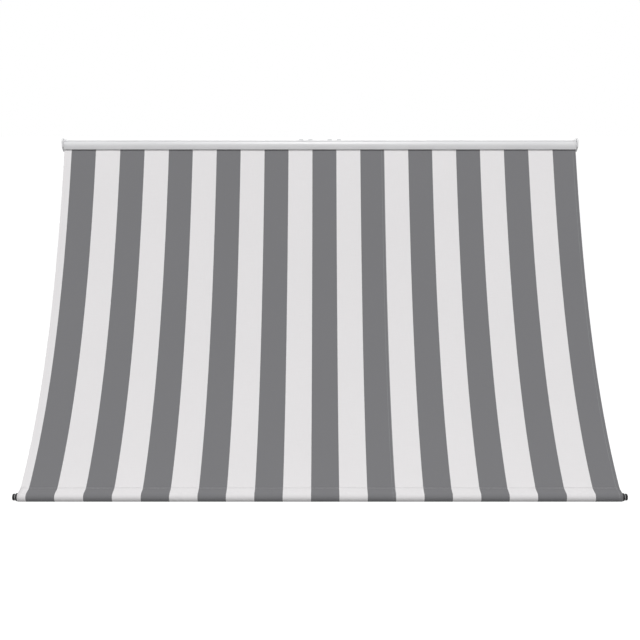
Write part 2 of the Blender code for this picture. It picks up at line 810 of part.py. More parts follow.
def bar_plug(name, side):
    seat = BAR_TUBE_HALF + FACE_GAP
    end = HALF_CLOTH + PLUG_LENGTH
    insert_radius = BAR_TUBE_RADIUS - BAR_TUBE_WALL - FACE_GAP
    rim_end = HALF_CLOTH + PLUG_RIM_LENGTH
    nose_start = end - PLUG_NOSE_LENGTH
    edge = PLUG_EDGE
    stations = [
        (seat - PLUG_INSERT, insert_radius),
        (seat, insert_radius),
        (seat, PLUG_COLLAR_RADIUS),
        (seat + edge, PLUG_COLLAR_RADIUS),
        (seat + edge, PLUG_RIM_RADIUS),
        (rim_end - edge, PLUG_RIM_RADIUS),
        (rim_end, PLUG_RIM_RADIUS - edge),
        (rim_end + edge, PLUG_GROOVE_RADIUS),
        (nose_start - edge, PLUG_GROOVE_RADIUS),
        (nose_start, PLUG_NOSE_RADIUS - edge),
        (nose_start + edge, PLUG_NOSE_RADIUS),
        (end - 2 * edge, PLUG_NOSE_RADIUS),
        (end - edge, PLUG_NOSE_RADIUS - edge / 3),
        (end, PLUG_NOSE_RADIUS - 2 * edge),
    ]
    return finish(turned(name, mirrored(stations, side), BAR), black_plastic())


def saddle(name, side):
    """Bracket on the back of the front tube, with two cheeks for the tip pin."""
    inner = BAR_TUBE_RADIUS + FACE_GAP
    outer = inner + SADDLE_WALL
    outline = arc(BAR, inner, SADDLE_HIGH_ANGLE, SADDLE_LOW_ANGLE, 8)
    outline += arc(BAR, outer, SADDLE_LOW_ANGLE, SADDLE_ROOT_ANGLE, 4)
    low, high = TIP_PIN_ANGLE - SADDLE_EYE_TURN, TIP_PIN_ANGLE + SADDLE_EYE_TURN
    outline += arc(TIP_PIN, SADDLE_EYE_RADIUS, low, high, 12)
    outline.append(polar(BAR, outer, SADDLE_HIGH_ANGLE))
    half_slot = EYE_WIDTH / 2 + RUNNING_GAP
    half = half_slot + SADDLE_CHEEK
    middle = side * ARM_X
    hole = ring(TIP_PIN, TIP_PIN_RADIUS + FACE_GAP / 2, 20)
    made = prism(name, [outline, hole], middle - half, middle + half)
    reach = 2 * TIP_PIN_OFFSET
    low, high = middle - half_slot, middle + half_slot
    slot = pipe(name + "_slot", low, high, reach, outer + FACE_GAP, BAR, cutter=True)
    return finish(combine(made, "DIFFERENCE", slot), coated())


def headed_pin(name, middle, half, radius, centre):
    """Pin through both cheeks of a bracket, with a head at each end."""
    head = radius + PIN_HEAD_EXTRA
    seat = half + FACE_GAP
    stations = [
        (middle - seat - PIN_HEAD_LENGTH, head - PIN_CHAMFER),
        (middle - seat - PIN_HEAD_LENGTH + PIN_CHAMFER, head),
        (middle - seat, head),
        (middle - seat, radius),
        (middle + seat, radius),
        (middle + seat, head),
        (middle + seat + PIN_HEAD_LENGTH - PIN_CHAMFER, head),
        (middle + seat + PIN_HEAD_LENGTH, head - PIN_CHAMFER),
    ]
    return finish(turned(name, stations, centre, steps=20), steel())


# Arms


def arm_point(distance, offset=0.0):
    """Point along the arm from its tip pin toward the wall pivot, and to its upper side by offset."""
    along = polar(TIP_PIN, distance, ARM_ANGLE)
    return polar(along, offset, ARM_ANGLE + math.pi / 2)


def arm_tube(name, side):
    start = ARM_TIP_CLEAR
    end = ARM_LENGTH - ARM_FOOT_CLEAR
    half_height = ARM_HEIGHT / 2
    middle = side * ARM_X
    made = bar_between(name, start, end, half_height, middle, ARM_WIDTH / 2)
    inner_height = half_height - ARM_WALL
    inner_width = ARM_WIDTH / 2 - ARM_WALL
    low, high = start - ARM_WALL, end + ARM_WALL
    bore = bar_between(name + "_bore", low, high, inner_height, middle, inner_width, cutter=True)
    return finish(combine(made, "DIFFERENCE", bore), coated())


def bar_between(name, start, end, half_height, middle, half_width, cutter=False):
    outline = [
        arm_point(start, -half_height),
        arm_point(end, -half_height),
        arm_point(end, half_height),
        arm_point(start, half_height),
    ]
    return prism(name, [outline], middle - half_width, middle + half_width, cutter)


def arm_tip(name, side):
    """Cast end of the arm: an eye for the tip pin, a neck and a tongue inside the tube."""
    tongue = ARM_HEIGHT / 2 - ARM_WALL - FACE_GAP
    half_turn = math.pi / 2
    outline = arc(TIP_PIN, TIP_EYE_RADIUS, ARM_ANGLE + half_turn, ARM_ANGLE + 3 * half_turn, 10)
    outline += [
        arm_point(ARM_TIP_CLEAR - TIP_NECK_END, -TIP_EYE_RADIUS),
        arm_point(ARM_TIP_CLEAR - TIP_NECK_SHOULDER, -tongue),
        arm_point(ARM_TIP_CLEAR + ARM_INSERT, -tongue),
        arm_point(ARM_TIP_CLEAR + ARM_INSERT, tongue),
        arm_point(ARM_TIP_CLEAR - TIP_NECK_SHOULDER, tongue),
        arm_point(ARM_TIP_CLEAR - TIP_NECK_END, TIP_EYE_RADIUS),
    ]
    hole = ring(TIP_PIN, TIP_PIN_RADIUS + FACE_GAP, 20)
    middle = side * ARM_X
    made = prism(name, [outline, hole], middle - EYE_WIDTH / 2, middle + EYE_WIDTH / 2)
    return finish(made, cast())


def arm_foot(name, side):
    """Cast end of the arm: an eye for the pivot bush and a tongue inside the tube."""
    tongue = ARM_HEIGHT / 2 - ARM_WALL - FACE_GAP
    half_turn = math.pi / 2
    outline = arc(PIVOT, tongue, ARM_ANGLE - half_turn, ARM_ANGLE + half_turn, 14)
    start = ARM_LENGTH - ARM_FOOT_CLEAR - ARM_INSERT
    outline += [arm_point(start, tongue), arm_point(start, -tongue)]
    hole = ring(PIVOT, PIVOT_PIN_RADIUS + PIVOT_BUSH_WALL + 2 * FACE_GAP, 24)
    middle = side * ARM_X
    made = prism(name, [outline, hole], middle - EYE_WIDTH / 2, middle + EYE_WIDTH / 2)
    return finish(made, cast())


def pivot_bush(name, side):
    middle = side * ARM_X
    bore = PIVOT_PIN_RADIUS + FACE_GAP
    radius = bore + PIVOT_BUSH_WALL
    made = pipe(name, middle - EYE_WIDTH / 2, middle + EYE_WIDTH / 2, radius, bore, PIVOT)
    return finish(made, nylon())


def pivot_bracket(name, side):
    """Wall bracket with two cheeks that carry the arm's pivot pin."""
    middle = side * ARM_X
    half_plate = PIVOT_PLATE_WIDTH / 2
    low_z = PIVOT[1] - PIVOT_PLATE_HEIGHT / 2
    high_z = PIVOT[1] + PIVOT_PLATE_HEIGHT / 2
    plate_low = (middle - half_plate, -PIVOT_PLATE_THICK, low_z)
    made = block(name, plate_low, (middle + half_plate, 0.0, high_z))
    half_slot = EYE_WIDTH / 2 + RUNNING_GAP
    half = half_slot + PIVOT_CHEEK
    root = PIVOT_CHEEK_ROOT / 2
    outline = [
        (-PIVOT_CHEEK_BACK, PIVOT[1] - root),
        (-PIVOT_CHEEK_BACK, PIVOT[1] + root),
        (-PIVOT_PLATE_THICK, PIVOT[1] + root),
    ]
    outline += arc(PIVOT, PIVOT_EYE_RADIUS, math.pi - PIVOT_EYE_TURN, math.pi + PIVOT_EYE_TURN, 12)
    outline.append((-PIVOT_PLATE_THICK, PIVOT[1] - root))
    hole = ring(PIVOT, PIVOT_PIN_RADIUS + FACE_GAP / 2, 24)
    cheeks = prism(name + "_cheeks", [outline, hole], middle - half, middle + half, cutter=True)
    slot_low = (middle - half_slot, -2 * ARM_STANDOFF, PIVOT[1] - 2 * root)
    slot_high = (middle + half_slot, -PIVOT_PLATE_THICK, PIVOT[1] + 2 * root)
    slot = block(name + "_slot", slot_low, slot_high, cutter=True)
    combine(cheeks, "DIFFERENCE", slot)
    combine(made, "UNION", cheeks)
    for label, way in (("lower", -1), ("upper", 1)):
        hole = wall_hole(f"{name}_{label}_hole", middle, PIVOT[1] + way * PIVOT_HOLE_SPACING / 2)
        combine(made, "DIFFERENCE", hole)
    return finish(made, galvanised())


# The whole awning


def build_head():
    right_plate = None
    for side, label in SIDES:
        right_plate = end_plate(label + "_end_plate", side)
        for height, level in zip(PORT_HEIGHTS, ("upper", "lower")):
            plate_screw(f"{label}_{level}_plate_screw", side, height)
    combine(right_plate, "DIFFERENCE", gland_hole())
    back_profile()
    front_hood()
    for name, x in head_bracket_places():
        head_bracket(name, x)
        clamp_screw(name.replace("head_bracket", "clamp_screw"), x)
    idler_bush()
    motor_housing()
    motor_head()
    cable_gland()


def build_roller():
    empty = axis_empty("roller_axis", (0.0, *ROLLER))
    carry(empty, roller_tube(), cloth_roll(), idler_plug(), drive_wheel(), motor_crown())


def build_arms():
    for side, label in SIDES:
        pivot_bracket(label + "_pivot_bracket", side)
        half = EYE_WIDTH / 2 + RUNNING_GAP + PIVOT_CHEEK
        headed_pin(label + "_pivot_pin", side * ARM_X, half, PIVOT_PIN_RADIUS, PIVOT)
        empty = axis_empty(label + "_arm_axis", (side * ARM_X, *PIVOT))
        tube = arm_tube(label + "_arm_tube", side)
        foot = arm_foot(label + "_arm_foot", side)
        tip = arm_tip(label + "_arm_tip", side)
        carry(empty, tube, foot, tip, pivot_bush(label + "_pivot_bush", side))


def build_front_bar():
    empty = axis_empty("front_bar_axis", (0.0, *TIP_PIN))
    carry(empty, front_tube(), hem_pocket())
    for side, label in SIDES:
        half = EYE_WIDTH / 2 + RUNNING_GAP + SADDLE_CHEEK
        pin = headed_pin(label + "_tip_pin", side * ARM_X, half, TIP_PIN_RADIUS, TIP_PIN)
        carry(empty, bar_plug(label + "_bar_plug", side), saddle(label + "_saddle", side), pin)


clear_scene()
build_head()
build_roller()
build_arms()
build_front_bar()
awning_cloth()
settle([piece for piece in bpy.data.collections[PARTS_NAME].objects if piece.type == "MESH"])
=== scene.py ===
"""Looks of the striped drop-arm awning: its cloth, hem, stitching, coats, metals, light and camera.

Metres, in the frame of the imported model: the wall is the plane y = 0, +Z is up, the cloth reaches out
toward -Y, and z = 0 is the height of the roller's axis. Section points are (y, z) pairs.
"""

import json
import math

import bmesh
import bpy
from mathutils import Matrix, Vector


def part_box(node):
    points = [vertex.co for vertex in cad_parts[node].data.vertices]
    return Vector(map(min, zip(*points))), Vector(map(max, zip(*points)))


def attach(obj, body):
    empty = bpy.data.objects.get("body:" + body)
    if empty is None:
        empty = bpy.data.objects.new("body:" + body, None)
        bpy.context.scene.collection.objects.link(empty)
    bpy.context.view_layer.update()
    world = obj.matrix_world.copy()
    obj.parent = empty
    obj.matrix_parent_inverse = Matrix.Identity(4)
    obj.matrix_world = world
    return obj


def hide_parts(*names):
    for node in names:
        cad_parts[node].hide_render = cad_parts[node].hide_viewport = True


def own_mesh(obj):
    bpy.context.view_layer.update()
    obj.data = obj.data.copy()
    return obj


# Cloth, as the part has it
ROLLER_RADIUS = 0.018
CLOTH_THICK = 0.0006
ROLL_CLOTH_THICK = 0.00035
ROLL_PITCH = 0.0005
ROLL_TURNS = 1.75
LEFT_STRIP = 0.0428
OUTER_STRIPE = 0.1426
INNER_STRIPE = 0.1404
RIGHT_STRIPE = 0.1430
OUTER_COUNT = 4
INNER_COUNT = 14
SAG_RADIUS = 1.240
HEM_LENGTH = 0.046
HEM_ANGLE = math.radians(37)
LEAVE_ANGLE = math.radians(157)
FACE_GAP = 0.0003

# How the cloth is made up
SIDE_HEM = 0.020
SIDE_HEM_EXTRA = 0.0005
SIDE_HEM_SLACK = 0.000001
SEAM_PLACES = (7, 14)
SEAM_LAP = 0.018
HEM_LAP = 0.009
HEM_LAP_RISE = 0.0007
STITCH_LENGTH = 0.0034
STITCH_PITCH = 0.0050
STITCH_RADIUS = 0.00033
STITCH_INSET = 0.003
STITCH_LINE = 0.0006
STITCH_SIDES = 6
STITCH_RINGS = ((-0.5, 0.35), (-0.3, 1.0), (0.3, 1.0), (0.5, 0.35))
HEM_STITCH_PLACES = (HEM_LAP - STITCH_INSET, 0.001)
NOTCH_MARGIN = 0.004
WEAVE_PITCH = 0.0009

# How fine the cloth is, and how it hangs
COLUMN_STEP = 0.018
ROW_STEP = 0.016
CHAIN_STEPS = 600
CHAIN_HALVINGS = 60
CHAIN_FOOT_LIMIT = -10.0
TURN_STEPS = 60
HEM_FLAT_STEPS = 4
HEM_ROUND_STEPS = 48
CUT_SHARE = 0.5
RIPPLE = 0.0011
RIPPLE_FADE = 0.7
RIPPLE_DRIFT = 0.9
FIRST_WAVE = (5.3, 0.8)
SECOND_WAVE = (11.9, 2.1)
SECOND_WAVE_SHARE = 0.6
EDGE_RIPPLE = 1.5
EDGE_FADE = 0.05
FOLD_BELOW_ROLLER = 0.030
FOLD_OFF_HEM = 0.012

# Hood, as the part has it, with a finer curve and an open joint between its two strips
HOOD_RADIUS = 0.030
HOOD_WALL = 0.0015
HOOD_STEPS = 20
HOOD_EDGE = 0.0003
JOINT_ANGLE = math.radians(129)
JOINT_WIDTH = 0.0016
TONGUE_DEPTH = 0.0024
TONGUE_WIDTH = 0.0060
TONGUE_STEPS = 6

# Bar plugs, as the part has them, with a washer in the groove
PLUG_STEPS = 96
PLUG_RIM_LENGTH = 0.0095
PLUG_NOSE_LENGTH = 0.0100
PLUG_NECK = 0.0190
PLUG_COLLAR = 0.0216
PLUG_COLLAR_LENGTH = 0.0015
PLUG_RIM = 0.0200
PLUG_NOSE = 0.0168
PLUG_GROOVE = 0.0140
PLUG_SOFT = 0.0006
PLUG_STEP = 0.0004
DIMPLE_RADIUS = 0.0060
DIMPLE_DEPTH = 0.0008
WASHER_SINK = 0.0001
WASHER_RISE = 0.0012

# Edges of metal and plastic pieces
SOFT_EDGE = 0.0005
WELD = 0.00001
PLUG_WELD = 0.000001
FLAT_ANGLE = math.radians(0.5)
SMOOTH_ANGLE = math.radians(35)
EDGE_ANGLE = math.radians(40)
ARM_CORNER = 0.003
ARM_CORNER_STEPS = 6
NOT_SOFTENED = {
    "awning_cloth", "cloth_roll", "hem_pocket", "front_hood", "front_tube", "roller_tube",
    "left_bar_plug", "right_bar_plug", "left_arm_tube", "right_arm_tube",
}
LONG_SHARE = 0.9
OUTER_SLACK = 0.001

# Photograph's camera
CAMERA_PLACE = (0.0, -5.3795, 0.1282)
CAMERA_TILT = math.radians(77.5)
FOCAL_LENGTH = 50.0
SENSOR_WIDTH = 36.0

# Light and floor
FLOOR_DROP = 1.35
FLOOR_SIZE = 400.0
FLOOR_COLOUR = (0.45, 0.45, 0.45)
FLOOR_ROUGHNESS = 0.95
FLOOR_GLOW = 1.40
FLOOR_GLOW_SHARE = 0.70
SKY_LIGHT = 0.30
KEY_AIM = (0.0, -0.6, -0.9)
KEY_RISE = math.radians(62)
KEY_AWAY = 14.0
KEY_SIZE = 7.0
KEY_POWER = 1325.0
FILL_PLACE = (6.0, -3.0, 1.5)
FILL_SIZE = 4.0
FILL_POWER = 60.0
BACK_PLACE = (0.0, 6.0, -0.8)
BACK_SIZE = 5.0
BACK_POWER = 120.0

# Colours
GREY = (0.181, 0.181, 0.189)
WHITE = (0.766, 0.752, 0.760)
COAT = (0.72, 0.72, 0.73)
GALVANISED = (0.48, 0.49, 0.50)
ZINC = (0.62, 0.63, 0.64)
CAST = (0.60, 0.60, 0.61)
NYLON = (0.72, 0.72, 0.69)
BLACK = (0.009, 0.009, 0.010)
THREAD = (0.62, 0.61, 0.62)
ZINC_HAZE = (0.60, 0.60, 0.52)
WASHER_GREY = (0.24, 0.24, 0.245)

# Cloth finish. Tones are shares of the colour. A bump is its distance and strength, a roughness its lowest
# and highest, and a sheen or lacquer its weight and roughness, here and in the finishes below.
NOISE_RANGE = (0.3, 0.7)
WARP_SLUB = (850.0, 14.0, 1.0)
WEFT_SLUB = (14.0, 850.0, 1.0)
SLUB_TONES = (0.965, 1.03)
SOIL_SCALE = 1.3
SOIL_STRETCH = (1.0, 1.6, 1.0)
SOIL_SHARE = 0.30
SOIL_TONE = 0.94
STITCH_SHARE = 0.35
WEAVE_RISE = 0.12
SLUB_RISE = 0.5
STITCH_RISE = 1.4
SEAM_RISE = 2.2
CLOTH_BUMP = (0.00012, 0.6)
CLOTH_ROUGHNESS = (0.82, 0.93)
CLOTH_SPECULAR = 0.25
CLOTH_SHEEN = (0.10, 0.55)
THREAD_TWIST = 2600.0
THREAD_TONES = (0.8, 1.0)
THREAD_ROUGHNESS = 0.7
THREAD_BUMP = (0.0001, 0.6)

# Coat finish
PEEL_SCALE = 900.0
DRIFT_SCALE = 7.0
DRIFT_STRETCH = (0.4, 2.0, 2.0)
SPECK_SCALE = 160.0
SPECK_LIMIT = 0.70
SPECK_SHARE = 0.25
SPECK_TONE = 0.80
COAT_TONES = (0.97, 1.02)
COAT_ROUGHNESS = (0.30, 0.42)
COAT_LACQUER = (0.08, 0.25)
COAT_BUMP = (0.00008, 0.5)

# Metal finishes. The spangle's roughness is its lowest and what is added to it.
SPANGLE_SCALE = 260.0
CLOUD_SCALE = 35.0
SPANGLE_SHARE = 0.4
SPANGLE_TONES = (0.90, 1.12)
SPANGLE_METAL = 0.9
SPANGLE_ROUGHNESS = (0.42, 0.12)
DIP_SCALE = 420.0
DIP_BUMP = (0.0001, 0.4)
TURNING_STRETCH = (2200.0, 60.0, 60.0)
HAZE_SCALE = 90.0
ZINC_ROUGHNESS = (0.24, 0.40)
ZINC_BUMP = (0.00005, 0.5)
CAST_GRAIN = 1300.0
STAIN_SCALE = 60.0
CAST_TONES = (0.88, 1.05)
CAST_ROUGHNESS = (0.42, 0.60)
CAST_BUMP = (0.0002, 0.6)

# Plastic finishes: grain scale, roughness and specular level of each
NYLON_FINISH = (700.0, 0.42, 0.5)
BLACK_FINISH = (1100.0, 0.50, 0.2)
WASHER_FINISH = (700.0, 0.5, 0.5)
SCUFF_SCALE = 45.0
SCUFF_TONES = (0.88, 1.15)
SCUFF_ROUGHNESS = (-0.06, 0.08)
GRAIN_BUMP = (0.00012, 0.5)


# Node helpers


def new_material(name):
    made = bpy.data.materials.new(name)
    made.use_nodes = True
    return made, made.node_tree.nodes, made.node_tree.links


def node(nodes, kind, **values):
    made = nodes.new(kind)
    for key, value in values.items():
        setattr(made, key, value)
    return made


def calculate(tree, operation, first, second=None, third=None):
    """Math node whose inputs are sockets or numbers. Returns its output socket."""
    made = node(tree.nodes, "ShaderNodeMath", operation=operation)
    for place, value in enumerate((first, second, third)):
        if value is None:
            continue
        if isinstance(value, (int, float)):
            made.inputs[place].default_value = value
        else:
            tree.links.new(value, made.inputs[place])
    return made.outputs[0]


def mixed_colour(tree, share, first, second):
    """Colour that goes from first to second, each a socket or a colour, by a share that is a socket."""
    made = node(tree.nodes, "ShaderNodeMix", data_type="RGBA")
    tree.links.new(share, made.inputs["Factor"])
    for place, value in ((6, first), (7, second)):
        if isinstance(value, tuple):
            made.inputs[place].default_value = (*value, 1.0)
        else:
            tree.links.new(value, made.inputs[place])
    return made.outputs[2]


def noise(tree, place, scale, stretch=(1.0, 1.0, 1.0), detail=3.0):
    """Noise over a place socket, stretched along each axis. Returns the factor socket."""
    mapping = node(tree.nodes, "ShaderNodeMapping")
    mapping.inputs["Scale"].default_value = stretch
    tree.links.new(place, mapping.inputs["Vector"])
    made = node(tree.nodes, "ShaderNodeTexNoise")
    made.inputs["Scale"].default_value = scale
    made.inputs["Detail"].default_value = detail
    tree.links.new(mapping.outputs[0], made.inputs["Vector"])
    return made.outputs["Fac"]


def spread(tree, factor, low, high):
    """Maps a factor that runs over NOISE_RANGE, as noise does, to low to high."""
    made = node(tree.nodes, "ShaderNodeMapRange")
    made.inputs["From Min"].default_value = NOISE_RANGE[0]
    made.inputs["From Max"].default_value = NOISE_RANGE[1]
    made.inputs["To Min"].default_value = low
    made.inputs["To Max"].default_value = high
    tree.links.new(factor, made.inputs["Value"])
    return made.outputs[0]


def varied(tree, factor, colour, tones):
    """The colour, from its darker to its lighter tone, by a noise factor."""
    dark, light = (darker(colour, tone) for tone in tones)
    return mixed_colour(tree, spread(tree, factor, 0.0, 1.0), dark, light)


def bumped(tree, shader, height, size):
    """Bump by a height socket. Size is its distance and strength."""
    distance, strength = size
    made = node(tree.nodes, "ShaderNodeBump")
    made.inputs["Distance"].default_value = distance
    made.inputs["Strength"].default_value = strength
    tree.links.new(height, made.inputs["Height"])
    tree.links.new(made.outputs[0], shader.inputs["Normal"])


def object_place(tree):
    return node(tree.nodes, "ShaderNodeTexCoord").outputs["Object"]


def darker(colour, share):
    return tuple(value * share for value in colour)


# Cloth material


def line_mask(tree, distance, half_width):
    """1 on a line whose distance socket is under half_width, else 0."""
    return calculate(tree, "LESS_THAN", calculate(tree, "ABSOLUTE", distance), half_width)


def cloth_material(name, colour, half_width, seams):
    """Plain woven acrylic: threads, slubs, side hems and lap seams with their stitches, and slight soiling.

    The woven place comes from the cloth_place attribute: metres across the cloth and along it.
    """
    made, nodes, links = new_material(name)
    tree = made.node_tree
    shader = nodes["Principled BSDF"]
    place = node(nodes, "ShaderNodeAttribute", attribute_name="cloth_place").outputs["Vector"]
    parts = node(nodes, "ShaderNodeSeparateXYZ")
    links.new(place, parts.inputs[0])
    across, along = parts.outputs[0], parts.outputs[1]

    # Threads under and over each other
    thread = 2 * math.pi / WEAVE_PITCH
    warp = calculate(tree, "SINE", calculate(tree, "MULTIPLY", across, thread))
    weft = calculate(tree, "SINE", calculate(tree, "MULTIPLY", along, thread))
    weave = calculate(tree, "MULTIPLY", warp, weft)

    # Slubs run along single threads both ways
    warp_slub = noise(tree, place, 1.0, WARP_SLUB, 2.0)
    weft_slub = noise(tree, place, 1.0, WEFT_SLUB, 2.0)
    slub = calculate(tree, "ADD", warp_slub, weft_slub)
    slub = calculate(tree, "MULTIPLY", slub, 0.5)
    soil = noise(tree, place, SOIL_SCALE, SOIL_STRETCH, 4.0)

    tone = varied(tree, slub, colour, SLUB_TONES)
    tone = mixed_colour(tree, spread(tree, soil, 0.0, SOIL_SHARE), tone, darker(colour, SOIL_TONE))

    # Stitches of the side hems and of the lap seams, broken into single stitches
    from_middle = calculate(tree, "ABSOLUTE", across)
    hem_line = calculate(tree, "SUBTRACT", from_middle, half_width - SIDE_HEM + STITCH_INSET)
    stitched = line_mask(tree, hem_line, STITCH_LINE)
    for seam in seams:
        for offset in (STITCH_INSET, SEAM_LAP - STITCH_INSET):
            seam_line = calculate(tree, "SUBTRACT", across, seam - offset)
            stitched = calculate(tree, "MAXIMUM", stitched, line_mask(tree, seam_line, STITCH_LINE))
    beat = calculate(tree, "FRACT", calculate(tree, "DIVIDE", along, STITCH_PITCH))
    dashes = calculate(tree, "LESS_THAN", beat, STITCH_LENGTH / STITCH_PITCH)
    stitches = calculate(tree, "MULTIPLY", stitched, dashes)
    tone = mixed_colour(tree, calculate(tree, "MULTIPLY", stitches, STITCH_SHARE), tone, THREAD)
    links.new(tone, shader.inputs["Base Color"])

    # A seam's upper panel ends in a small step
    step = None
    for seam in seams:
        inside = calculate(tree, "COMPARE", across, seam - SEAM_LAP / 2, SEAM_LAP / 2)
        step = inside if step is None else calculate(tree, "MAXIMUM", step, inside)
    height = calculate(tree, "MULTIPLY_ADD", weave, WEAVE_RISE, calculate(tree, "MULTIPLY", slub, SLUB_RISE))
    height = calculate(tree, "ADD", height, calculate(tree, "MULTIPLY", stitches, STITCH_RISE))
    height = calculate(tree, "ADD", height, calculate(tree, "MULTIPLY", step, SEAM_RISE))
    bumped(tree, shader, height, CLOTH_BUMP)

    links.new(spread(tree, slub, *CLOTH_ROUGHNESS), shader.inputs["Roughness"])
    shader.inputs["Specular IOR Level"].default_value = CLOTH_SPECULAR
    shader.inputs["Sheen Weight"].default_value = CLOTH_SHEEN[0]
    shader.inputs["Sheen Roughness"].default_value = CLOTH_SHEEN[1]
    return made


# Other materials


def powder_coat():
    """Satin white powder coat: fine orange peel, a little uneven gloss, and specks of grime."""
    made, nodes, links = new_material("white_powder_coat")
    tree = made.node_tree
    shader = nodes["Principled BSDF"]
    place = object_place(tree)
    peel = noise(tree, place, PEEL_SCALE, detail=2.0)
    drift = noise(tree, place, DRIFT_SCALE, DRIFT_STRETCH, 5.0)
    specks = noise(tree, place, SPECK_SCALE, detail=5.0)
    grime = calculate(tree, "GREATER_THAN", specks, SPECK_LIMIT)
    tone = varied(tree, drift, COAT, COAT_TONES)
    grime_share = calculate(tree, "MULTIPLY", grime, SPECK_SHARE)
    tone = mixed_colour(tree, grime_share, tone, darker(COAT, SPECK_TONE))
    links.new(tone, shader.inputs["Base Color"])
    links.new(spread(tree, drift, *COAT_ROUGHNESS), shader.inputs["Roughness"])
    shader.inputs["Coat Weight"].default_value = COAT_LACQUER[0]
    shader.inputs["Coat Roughness"].default_value = COAT_LACQUER[1]
    bumped(tree, shader, peel, COAT_BUMP)
    return made


def galvanised_steel():
    """Hot-dip zinc: a patchwork of crystals, each with its own grey and gloss."""
    made, nodes, links = new_material("galvanised_steel")
    tree = made.node_tree
    shader = nodes["Principled BSDF"]
    place = object_place(tree)
    crystals = node(nodes, "ShaderNodeTexVoronoi")
    crystals.inputs["Scale"].default_value = SPANGLE_SCALE
    links.new(place, crystals.inputs["Vector"])
    split = node(nodes, "ShaderNodeSeparateColor")
    links.new(crystals.outputs["Color"], split.inputs[0])
    grain = split.outputs[0]
    cloud = spread(tree, noise(tree, place, CLOUD_SCALE, detail=4.0), 0.0, 1.0)
    cloud = calculate(tree, "MULTIPLY", cloud, 1 - SPANGLE_SHARE)
    grain = calculate(tree, "MULTIPLY_ADD", grain, SPANGLE_SHARE, cloud)
    dull, bright = (darker(GALVANISED, tone) for tone in SPANGLE_TONES)
    links.new(mixed_colour(tree, grain, dull, bright), shader.inputs["Base Color"])
    shader.inputs["Metallic"].default_value = SPANGLE_METAL
    lowest, added = SPANGLE_ROUGHNESS
    links.new(calculate(tree, "MULTIPLY_ADD", grain, added, lowest), shader.inputs["Roughness"])
    bumped(tree, shader, noise(tree, place, DIP_SCALE), DIP_BUMP)
    return made


def zinc_steel():
    """Bright zinc plating over fine turning marks, with a faint yellow haze."""
    made, nodes, links = new_material("zinc_plated_steel")
    tree = made.node_tree
    shader = nodes["Principled BSDF"]
    place = object_place(tree)
    turning = noise(tree, place, 1.0, TURNING_STRETCH, 2.0)
    haze = noise(tree, place, HAZE_SCALE)
    tone = mixed_colour(tree, spread(tree, haze, 0.0, 1.0), ZINC, ZINC_HAZE)
    links.new(tone, shader.inputs["Base Color"])
    shader.inputs["Metallic"].default_value = 1.0
    links.new(spread(tree, turning, *ZINC_ROUGHNESS), shader.inputs["Roughness"])
    bumped(tree, shader, turning, ZINC_BUMP)
    return made


def cast_aluminium():
    """Blasted casting: a fine grain and a slight stain."""
    made, nodes, links = new_material("cast_aluminium")
    tree = made.node_tree
    shader = nodes["Principled BSDF"]
    place = object_place(tree)
    grain = noise(tree, place, CAST_GRAIN, detail=4.0)
    stain = noise(tree, place, STAIN_SCALE)
    links.new(varied(tree, stain, CAST, CAST_TONES), shader.inputs["Base Color"])
    shader.inputs["Metallic"].default_value = 1.0
    links.new(spread(tree, grain, *CAST_ROUGHNESS), shader.inputs["Roughness"])
    bumped(tree, shader, grain, CAST_BUMP)
    return made


def moulded(name, colour, finish):
    """Moulded plastic with a fine spark-eroded grain.

    Finish is its grain scale, roughness and specular level.
    """
    grain_scale, roughness, specular = finish
    made, nodes, links = new_material(name)
    tree = made.node_tree
    shader = nodes["Principled BSDF"]
    place = object_place(tree)
    grain = noise(tree, place, grain_scale, detail=4.0)
    scuff = noise(tree, place, SCUFF_SCALE, detail=5.0)
    links.new(varied(tree, scuff, colour, SCUFF_TONES), shader.inputs["Base Color"])
    less, more = SCUFF_ROUGHNESS
    links.new(spread(tree, scuff, roughness + less, roughness + more), shader.inputs["Roughness"])
    shader.inputs["Specular IOR Level"].default_value = specular
    bumped(tree, shader, grain, GRAIN_BUMP)
    return made


def thread_material():
    made, nodes, links = new_material("sewing_thread")
    tree = made.node_tree
    shader = nodes["Principled BSDF"]
    twist = noise(tree, object_place(tree), THREAD_TWIST, detail=2.0)
    links.new(varied(tree, twist, THREAD, THREAD_TONES), shader.inputs["Base Color"])
    shader.inputs["Roughness"].default_value = THREAD_ROUGHNESS
    bumped(tree, shader, twist, THREAD_BUMP)
    return made


# Section curves


def polar(centre, radius, angle):
    return (centre[0] + radius * math.cos(angle), centre[1] + radius * math.sin(angle))


def arc(centre, radius, start, end, steps):
    return [polar(centre, radius, start + (end - start) * i / steps) for i in range(steps + 1)]


def hanging_path(start, end, steps):
    """Points of a hanging chain from start to end, whose lowest point has radius SAG_RADIUS."""
    low, high = CHAIN_FOOT_LIMIT, start[0]
    drop = (start[1] - end[1]) / SAG_RADIUS
    for _ in range(CHAIN_HALVINGS):
        foot = (low + high) / 2
        rise = math.cosh((start[0] - foot) / SAG_RADIUS) - math.cosh((end[0] - foot) / SAG_RADIUS)
        if rise > drop:
            low = foot
        else:
            high = foot
    base = start[1] - SAG_RADIUS * math.cosh((start[0] - foot) / SAG_RADIUS)
    places = [start[0] + (end[0] - start[0]) * i / steps for i in range(steps + 1)]
    return [(y, base + SAG_RADIUS * math.cosh((y - foot) / SAG_RADIUS)) for y in places]


def lengths_along(path):
    """Distance of each point from the first, along the path."""
    total, found = 0.0, [0.0]
    for before, after in zip(path, path[1:]):
        total += math.dist(before, after)
        found.append(total)
    return found


